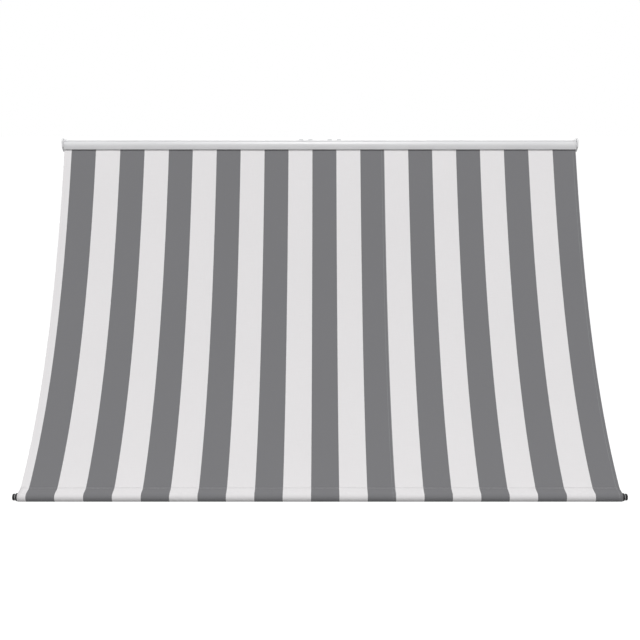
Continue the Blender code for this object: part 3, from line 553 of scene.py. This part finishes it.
def spaced(path, step):
    """The same path with points evenly spaced, step apart or a little less."""
    reach = lengths_along(path)
    count = math.ceil(reach[-1] / step)
    found, at = [], 0
    for i in range(count + 1):
        want = reach[-1] * i / count
        while at < len(path) - 2 and reach[at + 1] < want:
            at += 1
        share = (want - reach[at]) / (reach[at + 1] - reach[at])
        found.append(tuple(path[at][k] + (path[at + 1][k] - path[at][k]) * share for k in (0, 1)))
    return found


# Meshes


def add_piece(name, mesh, body, material_slot, *materials):
    made = bpy.data.objects.new(name, mesh)
    bpy.context.scene.collection.objects.link(made)
    for one in materials:
        mesh.materials.append(one)
    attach(made, body)
    return made


def set_places(mesh, places):
    """Stores where each point lies on the flat cloth, for the cloth's material."""
    held = mesh.attributes.new("cloth_place", "FLOAT_VECTOR", "POINT")
    held.data.foreach_set("vector", [value for place in places for value in place])


def stripe_edges(half):
    """Places in X where the cloth changes colour, with the two edges of the cloth."""
    edges = [-half, -half + LEFT_STRIP]
    widths = [OUTER_STRIPE] * OUTER_COUNT + [INNER_STRIPE] * INNER_COUNT
    while edges[-1] < half:
        edges.append(edges[-1] + (widths.pop(0) if widths else RIGHT_STRIPE))
    return edges[:-1] + [half]


def columns(half, extra=()):
    """Places in X for a cloth mesh, each with its stripe's number: close at hems, at edges and at extra."""
    edges = stripe_edges(half)
    fixed = sorted(set(edges) | {-half + SIDE_HEM, half - SIDE_HEM} | set(extra))
    found = []
    for low, high in zip(fixed, fixed[1:]):
        count = max(1, round((high - low) / COLUMN_STEP))
        found += [low + (high - low) * i / count for i in range(count)]
    found.append(fixed[-1])
    stripes = []
    for low, high in zip(found, found[1:]):
        middle = (low + high) / 2
        stripes.append((sum(1 for edge in edges if edge < middle) - 1) % 2)
    return found, stripes


def ripple(across, share, half):
    """How far the cloth stands off its hanging curve: soft lengthwise waves that fade at both ends."""
    fade = math.sin(math.pi * share) ** RIPPLE_FADE if 0 < share < 1 else 0.0
    waves = math.sin(across * FIRST_WAVE[0] + FIRST_WAVE[1])
    drift = RIPPLE_DRIFT * share
    waves += SECOND_WAVE_SHARE * math.sin(across * SECOND_WAVE[0] + SECOND_WAVE[1] + drift)
    edge = math.exp(-(half - abs(across)) / EDGE_FADE)
    return RIPPLE * fade * (waves + EDGE_RIPPLE * edge)


def normals_of(path):
    """Unit normals of a path of (y, z) points, to its upper side."""
    found = []
    for i in range(len(path)):
        before, after = path[max(i - 1, 0)], path[min(i + 1, len(path) - 1)]
        run, rise = after[0] - before[0], after[1] - before[1]
        size = math.hypot(run, rise)
        found.append((rise / size, -run / size))
    return found


def hanging_cloth(path, half):
    """Upper-side points and normals of the whole cloth, row by row, with its rows' place along it."""
    reach = lengths_along(path)
    across, stripes = columns(half)
    up = normals_of(path)
    points = []
    for (y, z), (ny, nz), run in zip(path, up, reach):
        off = [ripple(x, run / reach[-1], half) for x in across]
        points.append([(x, y + ny * rise, z + nz * rise) for x, rise in zip(across, off)])
    normals = []
    for r, row in enumerate(points):
        before, after = points[max(r - 1, 0)], points[min(r + 1, len(points) - 1)]
        line = []
        for c in range(len(row)):
            sideways = Vector(row[min(c + 1, len(row) - 1)]) - Vector(row[max(c - 1, 0)])
            lengthways = Vector(after[c]) - Vector(before[c])
            line.append(sideways.cross(lengthways).normalized())
        normals.append(line)
    if normals[0][0].z < 0:
        normals = [[-one for one in line] for line in normals]
    return {"reach": reach, "across": across, "stripes": stripes, "points": points, "normals": normals}


def cloth_length(name, cloth, first, last, half, body):
    """Closed sheet of the rows first to last, with folded side hems."""
    across, rows = cloth["across"], range(first, last + 1)
    width = len(across)
    vertices, places = [], []
    for side in (1, -1):
        for r in rows:
            for c, x in enumerate(across):
                thick = CLOTH_THICK / 2
                if side < 0 and abs(x) > half - SIDE_HEM - SIDE_HEM_SLACK:
                    thick += SIDE_HEM_EXTRA
                vertices.append(Vector(cloth["points"][r][c]) + side * thick * cloth["normals"][r][c])
                places.append((x, cloth["reach"][r], 0.0))
    layer = len(rows) * width
    faces, stripe_of, normals = [], [], []

    def add(corners, stripe, way):
        faces.append(corners)
        stripe_of.append(stripe)
        for corner in corners:
            if way:
                r, c = divmod(corner % layer, width)
                normals.append(way * cloth["normals"][first + r][c])
            else:
                normals.append(Vector((0.0, 0.0, 0.0)))

    for r in range(len(rows) - 1):
        for c in range(width - 1):
            a = r * width + c
            top = (a, a + width, a + width + 1, a + 1)
            add(top, cloth["stripes"][c], 1)
            add(tuple(corner + layer for corner in reversed(top)), cloth["stripes"][c], -1)
        for c in (0, width - 1):
            a = r * width + c
            edge = (a, a + layer, a + layer + width, a + width)
            add(edge if c == 0 else tuple(reversed(edge)), cloth["stripes"][min(c, width - 2)], 0)
    for r in (0, len(rows) - 1):
        for c in range(width - 1):
            a = r * width + c
            edge = (a, a + 1, a + 1 + layer, a + layer)
            add(edge if r == 0 else tuple(reversed(edge)), cloth["stripes"][c], 0)
    mesh = bpy.data.meshes.new(name)
    mesh.from_pydata(vertices, [], faces)
    mesh.polygons.foreach_set("material_index", stripe_of)
    mesh.shade_smooth()
    set_places(mesh, places)
    mesh.normals_split_custom_set(normals)
    return add_piece(name, mesh, body, "striped_cloth", *cloth["materials"])


def wrapped_cloth(name, path, start_along, half, notches, body, thick, materials):
    """Sheet that follows a path right across the awning, without the faces that notches leaves out."""
    across, stripes = columns(half, [edge for low, high, _ in notches for edge in (low, high)])
    reach = lengths_along(path)
    width = len(across)
    vertices = [(x, *point) for point in path for x in across]
    places = [(x, start_along + run, 0.0) for run in reach for x in across]
    faces, stripe_of = [], []
    for r in range(len(path) - 1):
        for c in range(width - 1):
            middle = (across[c] + across[c + 1]) / 2
            if any(low < middle < high and r >= begin for low, high, begin in notches):
                continue
            a = r * width + c
            faces.append((a, a + width, a + width + 1, a + 1))
            stripe_of.append(stripes[c])
    mesh = bpy.data.meshes.new(name)
    mesh.from_pydata(vertices, [], faces)
    mesh.polygons.foreach_set("material_index", stripe_of)
    mesh.shade_smooth()
    set_places(mesh, places)
    loose = bmesh.new()
    loose.from_mesh(mesh)
    bmesh.ops.delete(loose, geom=[v for v in loose.verts if not v.link_faces], context="VERTS")
    bmesh.ops.recalc_face_normals(loose, faces=loose.faces)
    loose.to_mesh(mesh)
    loose.free()
    made = add_piece(name, mesh, body, "striped_cloth", *materials)
    wall = made.modifiers.new("thickness", "SOLIDIFY")
    wall.thickness = thick
    wall.offset = 0.0
    return made


def stitch_rows(name, rows, half, body, material):
    """Rows of single stitches along X. Each row is a (y, z) place with its (y, z) outward direction."""
    work = bmesh.new()
    count = int(2 * (half - STITCH_INSET) / STITCH_PITCH)
    for (y, z), (out_y, out_z) in rows:
        for i in range(count):
            x = -half + STITCH_INSET + (i + 0.5) * STITCH_PITCH
            loops = []
            for share, swell in STITCH_RINGS:
                sink = 0.0 if swell == 1.0 else -STITCH_RADIUS
                loop = []
                for k in range(STITCH_SIDES):
                    turn = 2 * math.pi * k / STITCH_SIDES
                    lift = STITCH_RADIUS * swell * math.cos(turn) + sink
                    slide = STITCH_RADIUS * swell * math.sin(turn)
                    loop.append(work.verts.new((
                        x + share * STITCH_LENGTH,
                        y + out_y * lift - out_z * slide,
                        z + out_z * lift + out_y * slide,
                    )))
                loops.append(loop)
            for near, far in zip(loops, loops[1:]):
                for k in range(STITCH_SIDES):
                    following = (k + 1) % STITCH_SIDES
                    work.faces.new((near[k], near[following], far[following], far[k]))
            work.faces.new(loops[0])
            work.faces.new(loops[-1])
    bmesh.ops.recalc_face_normals(work, faces=work.faces)
    mesh = bpy.data.meshes.new(name)
    work.to_mesh(mesh)
    work.free()
    mesh.shade_smooth()
    return add_piece(name, mesh, body, "striped_cloth", material)


def hood_strip(name, path, low_x, high_x, material):
    """Thin wall along a path, drawn out along X, with softened edges."""
    mesh = bpy.data.meshes.new(name)
    vertices = [(x, *point) for point in path for x in (low_x, high_x)]
    faces = [(2 * i, 2 * i + 1, 2 * i + 3, 2 * i + 2) for i in range(len(path) - 1)]
    mesh.from_pydata(vertices, [], faces)
    mesh.shade_smooth()
    made = add_piece(name, mesh, "root", "white_coated_aluminium", material)
    wall = made.modifiers.new("thickness", "SOLIDIFY")
    wall.thickness = HOOD_WALL
    wall.offset = 0.0
    wall.use_even_offset = True
    break_edges(made, HOOD_EDGE)
    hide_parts("front_hood")


def break_edges(made, width):
    """Rounds a piece's sharp edges a little and returns the modifier that does it."""
    edges = made.modifiers.new("edges", "BEVEL")
    edges.width = width
    edges.segments = 2
    edges.limit_method = "ANGLE"
    edges.angle_limit = EDGE_ANGLE
    return edges


def smooth(mesh):
    mesh.shade_smooth()
    mesh.set_sharp_from_angle(angle=SMOOTH_ANGLE)


# The awning's own pieces


def middle_of(node_name):
    low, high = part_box(node_name)
    return (low + high) / 2


def dress_cloth(half, roller, bar, materials):
    """The hanging cloth in two lengths, one on the fixed head and one that follows the bar."""
    roll_radius = ROLLER_RADIUS + FACE_GAP + ROLL_CLOTH_THICK + ROLL_PITCH * ROLL_TURNS
    start = polar(roller, roll_radius + FACE_GAP + CLOTH_THICK / 2, LEAVE_ANGLE)
    end = polar(bar, HEM_LENGTH + CLOTH_THICK, HEM_ANGLE)
    path = spaced(hanging_path(start, end, CHAIN_STEPS), ROW_STEP)
    cloth = hanging_cloth(path, half)
    cloth["materials"] = materials
    last = len(path) - 1
    cut = round(last * CUT_SHARE)
    upper = cloth_length("upper_cloth", cloth, 0, cut, half, "root")
    lower = cloth_length("lower_cloth", cloth, cut, last, half, "front_bar")
    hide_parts("awning_cloth")
    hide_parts("awning_cloth")
    reach = cloth["reach"]
    for piece, near, far, begin, finish, clear in (
        (upper, path[0], path[cut], 0, cut, FOLD_BELOW_ROLLER),
        (lower, path[last], path[cut], cut, last, FOLD_OFF_HEM),
    ):
        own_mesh(piece)
    return reach[-1]


def dress_roll(half, roller, materials):
    """The turns of cloth that stay on the roller."""
    low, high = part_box("roller_tube")
    tube_radius = (high.z - low.z) / 2
    steps = round(ROLL_TURNS * TURN_STEPS)
    path = []
    for i in range(steps + 1):
        radius = tube_radius + FACE_GAP + ROLL_CLOTH_THICK / 2 + ROLL_PITCH * ROLL_TURNS * i / steps
        path.append(polar(roller, radius, LEAVE_ANGLE + 2 * math.pi * ROLL_TURNS * (i / steps - 1)))
    length = lengths_along(path)[-1]
    roll = wrapped_cloth("wound_cloth", path, -length, half, [], "roller", ROLL_CLOTH_THICK, materials)
    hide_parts("cloth_roll")


def straight(start, end):
    """Points from start toward end in HEM_FLAT_STEPS steps, with neither of the two."""
    shares = [i / HEM_FLAT_STEPS for i in range(1, HEM_FLAT_STEPS)]
    return [tuple(start[k] + (end[k] - start[k]) * share for k in (0, 1)) for share in shares]


def dress_hem(half, bar, along, materials, thread):
    """The hem round the front tube: from its lap over the cloth, round the tube and back under the cloth."""
    low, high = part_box("front_tube")
    radius = (high.z - low.z) / 2 + FACE_GAP + CLOTH_THICK / 2
    tangent = math.acos(radius / HEM_LENGTH)
    above, below = HEM_ANGLE + math.pi / 2, HEM_ANGLE - math.pi / 2
    seam = polar(bar, HEM_LENGTH, HEM_ANGLE)
    lap = polar(bar, HEM_LENGTH + HEM_LAP, HEM_ANGLE)
    top_start = polar(seam, HEM_LAP_RISE, above)
    under_end = polar(seam, HEM_LAP_RISE, below)
    curve = arc(bar, radius, HEM_ANGLE + tangent, HEM_ANGLE + 2 * math.pi - tangent, HEM_ROUND_STEPS)
    path = [polar(lap, HEM_LAP_RISE, above), top_start, *straight(top_start, curve[0]), *curve]
    path += [*straight(curve[-1], under_end), under_end, polar(lap, HEM_LAP_RISE, below)]
    pin_low, pin_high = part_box("right_tip_pin")
    notch_share = (1.5 * math.pi - tangent) / (2 * math.pi - 2 * tangent)
    notch_row = 1 + HEM_FLAT_STEPS + round(HEM_ROUND_STEPS * notch_share)
    notches = []
    for side in (-1, 1):
        ends = sorted((side * (pin_low.x - NOTCH_MARGIN), side * (pin_high.x + NOTCH_MARGIN)))
        notches.append((*ends, notch_row))
    hem = wrapped_cloth("hem", path, along, half, notches, "front_bar", CLOTH_THICK, materials)
    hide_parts("hem_pocket")
    out = (math.cos(above), math.sin(above))
    surface = HEM_LAP_RISE + CLOTH_THICK / 2
    lines = [polar(bar, HEM_LENGTH + place, HEM_ANGLE) for place in HEM_STITCH_PLACES]
    rows = [(polar(line, surface, above), out) for line in lines]
    stitches = stitch_rows("hem_stitches", rows, half, "front_bar", thread)
    flat = (2 * half, lengths_along(path)[-1])


def dress_hood(coat):
    """The hood in two strips, with a tongue behind the joint between them."""
    low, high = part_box("front_hood")
    centre = (low.y + HOOD_RADIUS, high.z - HOOD_RADIUS)
    radius = HOOD_RADIUS - HOOD_WALL / 2
    gap = JOINT_WIDTH / 2 / radius
    reach = TONGUE_WIDTH / 2 / radius
    top = arc(centre, radius, math.pi / 2, JOINT_ANGLE - gap, HOOD_STEPS)
    front = arc(centre, radius, JOINT_ANGLE + gap, math.pi, HOOD_STEPS)
    front.append((front[-1][0], low.z + HOOD_WALL / 2))
    tongue = arc(centre, radius - TONGUE_DEPTH, JOINT_ANGLE - reach, JOINT_ANGLE + reach, TONGUE_STEPS)
    for name, path in (("hood_top", top), ("hood_front", front), ("hood_tongue", tongue)):
        hood_strip(name, path, low.x, high.x, coat)


def copy_of(node_name, name, finishes):
    """A visual piece that replaces a CAD node, with the node's mesh, place and body and the finish of its slot."""
    slot = next(one["material_slot"] for one in frame["record"]["subparts"] if one["node"] == node_name)
    bodies = frame["record"]["behaviour"]["bodies"]
    body = next(one for one in bodies if node_name in bodies[one])
    source = frame["nodes"][node_name]
    mesh = source.data.copy()
    mesh.materials.clear()
    work = bmesh.new()
    work.from_mesh(mesh)
    bmesh.ops.remove_doubles(work, verts=work.verts, dist=WELD)
    bmesh.ops.dissolve_limit(work, angle_limit=FLAT_ANGLE, verts=work.verts, edges=work.edges)
    work.to_mesh(mesh)
    work.free()
    if "custom_normal" in mesh.attributes:
        mesh.attributes.remove(mesh.attributes["custom_normal"])
    mesh.polygons.foreach_set("material_index", [0] * len(mesh.polygons))
    smooth(mesh)
    made = add_piece(name, mesh, body, slot, finishes[slot])
    made.matrix_world = source.matrix_world.copy()
    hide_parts(node_name)
    return made


def soften(node_name, finishes):
    """A hard piece with its sharp edges broken, as casting, coating and pressing leave them."""
    made = copy_of(node_name, node_name + "_softened", finishes)
    break_edges(made, SOFT_EDGE).harden_normals = True


def turned_mesh(name, stations, side, centre):
    """Closed mesh turned about the X axis through centre. Stations are (distance from the middle, radius)."""
    turns = [2 * math.pi * k / PLUG_STEPS for k in range(PLUG_STEPS)]
    points = [
        (side * x, centre.y + radius * math.cos(turn), centre.z + radius * math.sin(turn))
        for x, radius in stations
        for turn in turns
    ]
    faces = []
    for row in range(len(stations) - 1):
        for k in range(PLUG_STEPS):
            a, b = row * PLUG_STEPS + k, row * PLUG_STEPS + (k + 1) % PLUG_STEPS
            faces.append((a, b, b + PLUG_STEPS, a + PLUG_STEPS))
    mesh = bpy.data.meshes.new(name)
    mesh.from_pydata(points, [], faces)
    work = bmesh.new()
    work.from_mesh(mesh)
    bmesh.ops.remove_doubles(work, verts=work.verts, dist=PLUG_WELD)
    bmesh.ops.holes_fill(work, edges=work.edges, sides=0)
    bmesh.ops.recalc_face_normals(work, faces=work.faces)
    work.to_mesh(mesh)
    work.free()
    smooth(mesh)
    return mesh


def dress_plug(node_name, side, half, plastic, washer):
    """End plug of the bar, turned finely, with a grey washer seated in the groove."""
    low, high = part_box(node_name)
    end = high.x if side > 0 else -low.x
    centre = (low + high) / 2
    soft, step = PLUG_SOFT, PLUG_STEP
    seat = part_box("front_tube")[1].x + FACE_GAP
    rim_end, nose_start = half + PLUG_RIM_LENGTH, end - PLUG_NOSE_LENGTH
    collar_end = seat + PLUG_COLLAR_LENGTH
    profile = [
        (seat - 10 * step, PLUG_NECK),
        (seat, PLUG_NECK),
        (seat, PLUG_COLLAR - step / 2),
        (seat + soft, PLUG_COLLAR),
        (collar_end, PLUG_COLLAR),
        (collar_end, PLUG_RIM),
        (rim_end - 2 * soft, PLUG_RIM),
        (rim_end - soft, PLUG_RIM - step / 2),
        (rim_end, PLUG_RIM - 2 * step),
        (rim_end + step, PLUG_RIM - 5 * step),
        (rim_end + step, PLUG_GROOVE),
        (nose_start - step, PLUG_GROOVE),
        (nose_start - step, PLUG_NOSE - 2.5 * step),
        (nose_start, PLUG_NOSE - step),
        (nose_start + soft, PLUG_NOSE),
        (end - 5 * soft, PLUG_NOSE),
        (end - 2.5 * soft, PLUG_NOSE - 1.25 * step),
        (end - 1.25 * step, PLUG_NOSE - 3.75 * step),
        (end, PLUG_NOSE - 7.5 * step),
        (end, DIMPLE_RADIUS),
        (end - DIMPLE_DEPTH, DIMPLE_RADIUS - DIMPLE_DEPTH),
        (end - DIMPLE_DEPTH, 0.0),
    ]
    inner, outer = PLUG_GROOVE - WASHER_SINK, PLUG_GROOVE + WASHER_RISE
    near, far = rim_end + 2 * step, nose_start - 2 * step
    ring = [(near, inner), (near, outer), (far, outer), (far, inner)]
    for ending, stations, material in (("_turned", profile, plastic), ("_washer", ring, washer)):
        mesh = turned_mesh(node_name + ending, stations, side, centre)
        made = add_piece(node_name + ending, mesh, "front_bar", "black_plastic", material)
        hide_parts(node_name)


def dress_arm(node_name, finishes):
    """Arm tube with the rounded corners of drawn tube."""
    mesh = copy_of(node_name, node_name + "_drawn", finishes).data
    work = bmesh.new()
    work.from_mesh(mesh)
    middle = sum(vertex.co.x for vertex in work.verts) / len(work.verts)
    longest = max(edge.calc_length() for edge in work.edges)
    lengthwise = [edge for edge in work.edges if edge.calc_length() > LONG_SHARE * longest]
    away = {edge: abs((edge.verts[0].co.x + edge.verts[1].co.x) / 2 - middle) for edge in lengthwise}
    widest = max(away.values())
    corners = [edge for edge in lengthwise if away[edge] > widest - OUTER_SLACK]
    bmesh.ops.bevel(work, geom=corners, offset=ARM_CORNER, offset_type="OFFSET", segments=ARM_CORNER_STEPS,
                    profile=0.5, affect="EDGES")
    work.to_mesh(mesh)
    work.free()
    smooth(mesh)


def dress_nodes(finishes):
    """Gives every CAD node the finish of its slot."""
    for part in frame["record"]["subparts"]:
        made = frame["nodes"][part["node"]]
        for held in made.material_slots:
            held.material = finishes[part["material_slot"]]


# Stage


def seen_ray(tree):
    """1 for what the camera sees, directly or in metal and glass, else 0."""
    kinds = node(tree.nodes, "ShaderNodeLightPath").outputs
    shown = calculate(tree, "MAXIMUM", kinds["Is Camera Ray"], kinds["Is Glossy Ray"])
    return calculate(tree, "MAXIMUM", shown, kinds["Is Transmission Ray"])


def add_stage(lowest):
    """Pale floor that shows white to the camera and keeps the object's shadow."""
    mesh = bpy.data.meshes.new("floor")
    reach, drop = FLOOR_SIZE / 2, lowest - FLOOR_DROP
    mesh.from_pydata(
        [(-reach, -reach, drop), (reach, -reach, drop), (reach, reach, drop), (-reach, reach, drop)],
        [],
        [(0, 1, 2, 3)],
    )
    floor = bpy.data.objects.new("floor", mesh)
    bpy.context.scene.collection.objects.link(floor)
    made, nodes, links = new_material("pale_floor")
    mesh.materials.append(made)
    shader = nodes["Principled BSDF"]
    shader.inputs["Base Color"].default_value = (*FLOOR_COLOUR, 1.0)
    shader.inputs["Roughness"].default_value = FLOOR_ROUGHNESS
    glow = node(nodes, "ShaderNodeEmission")
    glow.inputs["Strength"].default_value = FLOOR_GLOW
    mixer = node(nodes, "ShaderNodeMixShader")
    shown = seen_ray(made.node_tree)
    links.new(calculate(made.node_tree, "MULTIPLY", shown, FLOOR_GLOW_SHARE), mixer.inputs[0])
    links.new(shader.outputs[0], mixer.inputs[1])
    links.new(glow.outputs[0], mixer.inputs[2])
    links.new(mixer.outputs[0], nodes["Material Output"].inputs["Surface"])


def add_world():
    """Soft even light all round, white where the camera sees it."""
    world = bpy.data.worlds.new("studio")
    bpy.context.scene.world = world
    world.use_nodes = True
    tree = world.node_tree
    tree.nodes.clear()
    light = node(tree.nodes, "ShaderNodeBackground")
    light.inputs["Color"].default_value = (1.0, 1.0, 1.0, 1.0)
    light.inputs["Strength"].default_value = SKY_LIGHT
    white = node(tree.nodes, "ShaderNodeBackground")
    white.inputs["Color"].default_value = (1.0, 1.0, 1.0, 1.0)
    mixer = node(tree.nodes, "ShaderNodeMixShader")
    tree.links.new(seen_ray(tree), mixer.inputs[0])
    tree.links.new(light.outputs[0], mixer.inputs[1])
    tree.links.new(white.outputs[0], mixer.inputs[2])
    output = node(tree.nodes, "ShaderNodeOutputWorld")
    tree.links.new(mixer.outputs[0], output.inputs["Surface"])


def add_lamp(name, place, aim, size, power):
    data = bpy.data.lights.new(name, "AREA")
    data.shape = "DISK"
    data.size = size
    data.energy = power
    lamp = bpy.data.objects.new(name, data)
    lamp.location = place
    lamp.rotation_euler = (Vector(aim) - Vector(place)).to_track_quat("-Z", "Y").to_euler()
    bpy.context.scene.collection.objects.link(lamp)


def add_camera():
    data = bpy.data.cameras.new("camera")
    data.lens = FOCAL_LENGTH
    data.sensor_width = SENSOR_WIDTH
    camera = bpy.data.objects.new("camera", data)
    camera.location = CAMERA_PLACE
    camera.rotation_euler = (CAMERA_TILT, 0.0, 0.0)
    bpy.context.scene.collection.objects.link(camera)
    bpy.context.scene.camera = camera


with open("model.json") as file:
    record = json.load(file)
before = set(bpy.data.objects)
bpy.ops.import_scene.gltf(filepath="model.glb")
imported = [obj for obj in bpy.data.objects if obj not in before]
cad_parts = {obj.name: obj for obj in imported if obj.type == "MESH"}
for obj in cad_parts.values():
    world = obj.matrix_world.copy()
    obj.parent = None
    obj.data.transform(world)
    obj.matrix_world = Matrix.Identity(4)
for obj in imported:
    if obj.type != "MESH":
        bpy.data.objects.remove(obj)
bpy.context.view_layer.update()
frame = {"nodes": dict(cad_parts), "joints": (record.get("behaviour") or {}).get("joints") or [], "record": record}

add_camera()
half_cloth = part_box("awning_cloth")[1].x
bar_middle = middle_of("front_tube")
bar_axis = (bar_middle.y, bar_middle.z)
roller_place = next(joint["pos_m"] for joint in frame["joints"] if joint["name"] == "roller_spin")
roller_axis = (roller_place[1], roller_place[2])

all_edges = stripe_edges(half_cloth)
seam_places = [all_edges[index] for index in SEAM_PLACES]
white_cloth = cloth_material("white_cloth", WHITE, half_cloth, seam_places)
grey_cloth = cloth_material("grey_cloth", GREY, half_cloth, seam_places)
cloths = (white_cloth, grey_cloth)
finishes = {
    "white_coated_aluminium": powder_coat(),
    "galvanised_steel": galvanised_steel(),
    "zinc_plated_steel": zinc_steel(),
    "cast_aluminium": cast_aluminium(),
    "nylon": moulded("nylon", NYLON, NYLON_FINISH),
    "black_plastic": moulded("black_plastic", BLACK, BLACK_FINISH),
    "striped_cloth": white_cloth,
}
dress_nodes(finishes)
hung = dress_cloth(half_cloth, roller_axis, bar_axis, cloths)
dress_roll(half_cloth, roller_axis, cloths)
dress_hem(half_cloth, bar_axis, hung, cloths, thread_material())
dress_hood(finishes["white_coated_aluminium"])
washer_finish = moulded("grey_nylon", WASHER_GREY, WASHER_FINISH)
for side, label in ((-1, "left"), (1, "right")):
    dress_plug(label + "_bar_plug", side, half_cloth, finishes["black_plastic"], washer_finish)
    dress_arm(label + "_arm_tube", finishes)
for part in frame["record"]["subparts"]:
    if part["node"] not in NOT_SOFTENED:
        soften(part["node"], finishes)

add_stage(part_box("front_tube")[0].z)
add_world()
key_way = Vector((0.0, -math.cos(KEY_RISE), math.sin(KEY_RISE)))
add_lamp("key", Vector(KEY_AIM) + key_way * KEY_AWAY, KEY_AIM, KEY_SIZE, KEY_POWER)
for side, label in ((-1, "left_fill"), (1, "right_fill")):
    add_lamp(label, (side * FILL_PLACE[0], *FILL_PLACE[1:]), KEY_AIM, FILL_SIZE, FILL_POWER)
add_lamp("back_fill", BACK_PLACE, KEY_AIM, BACK_SIZE, BACK_POWER)

bpy.context.scene.view_settings.view_transform = "Standard"
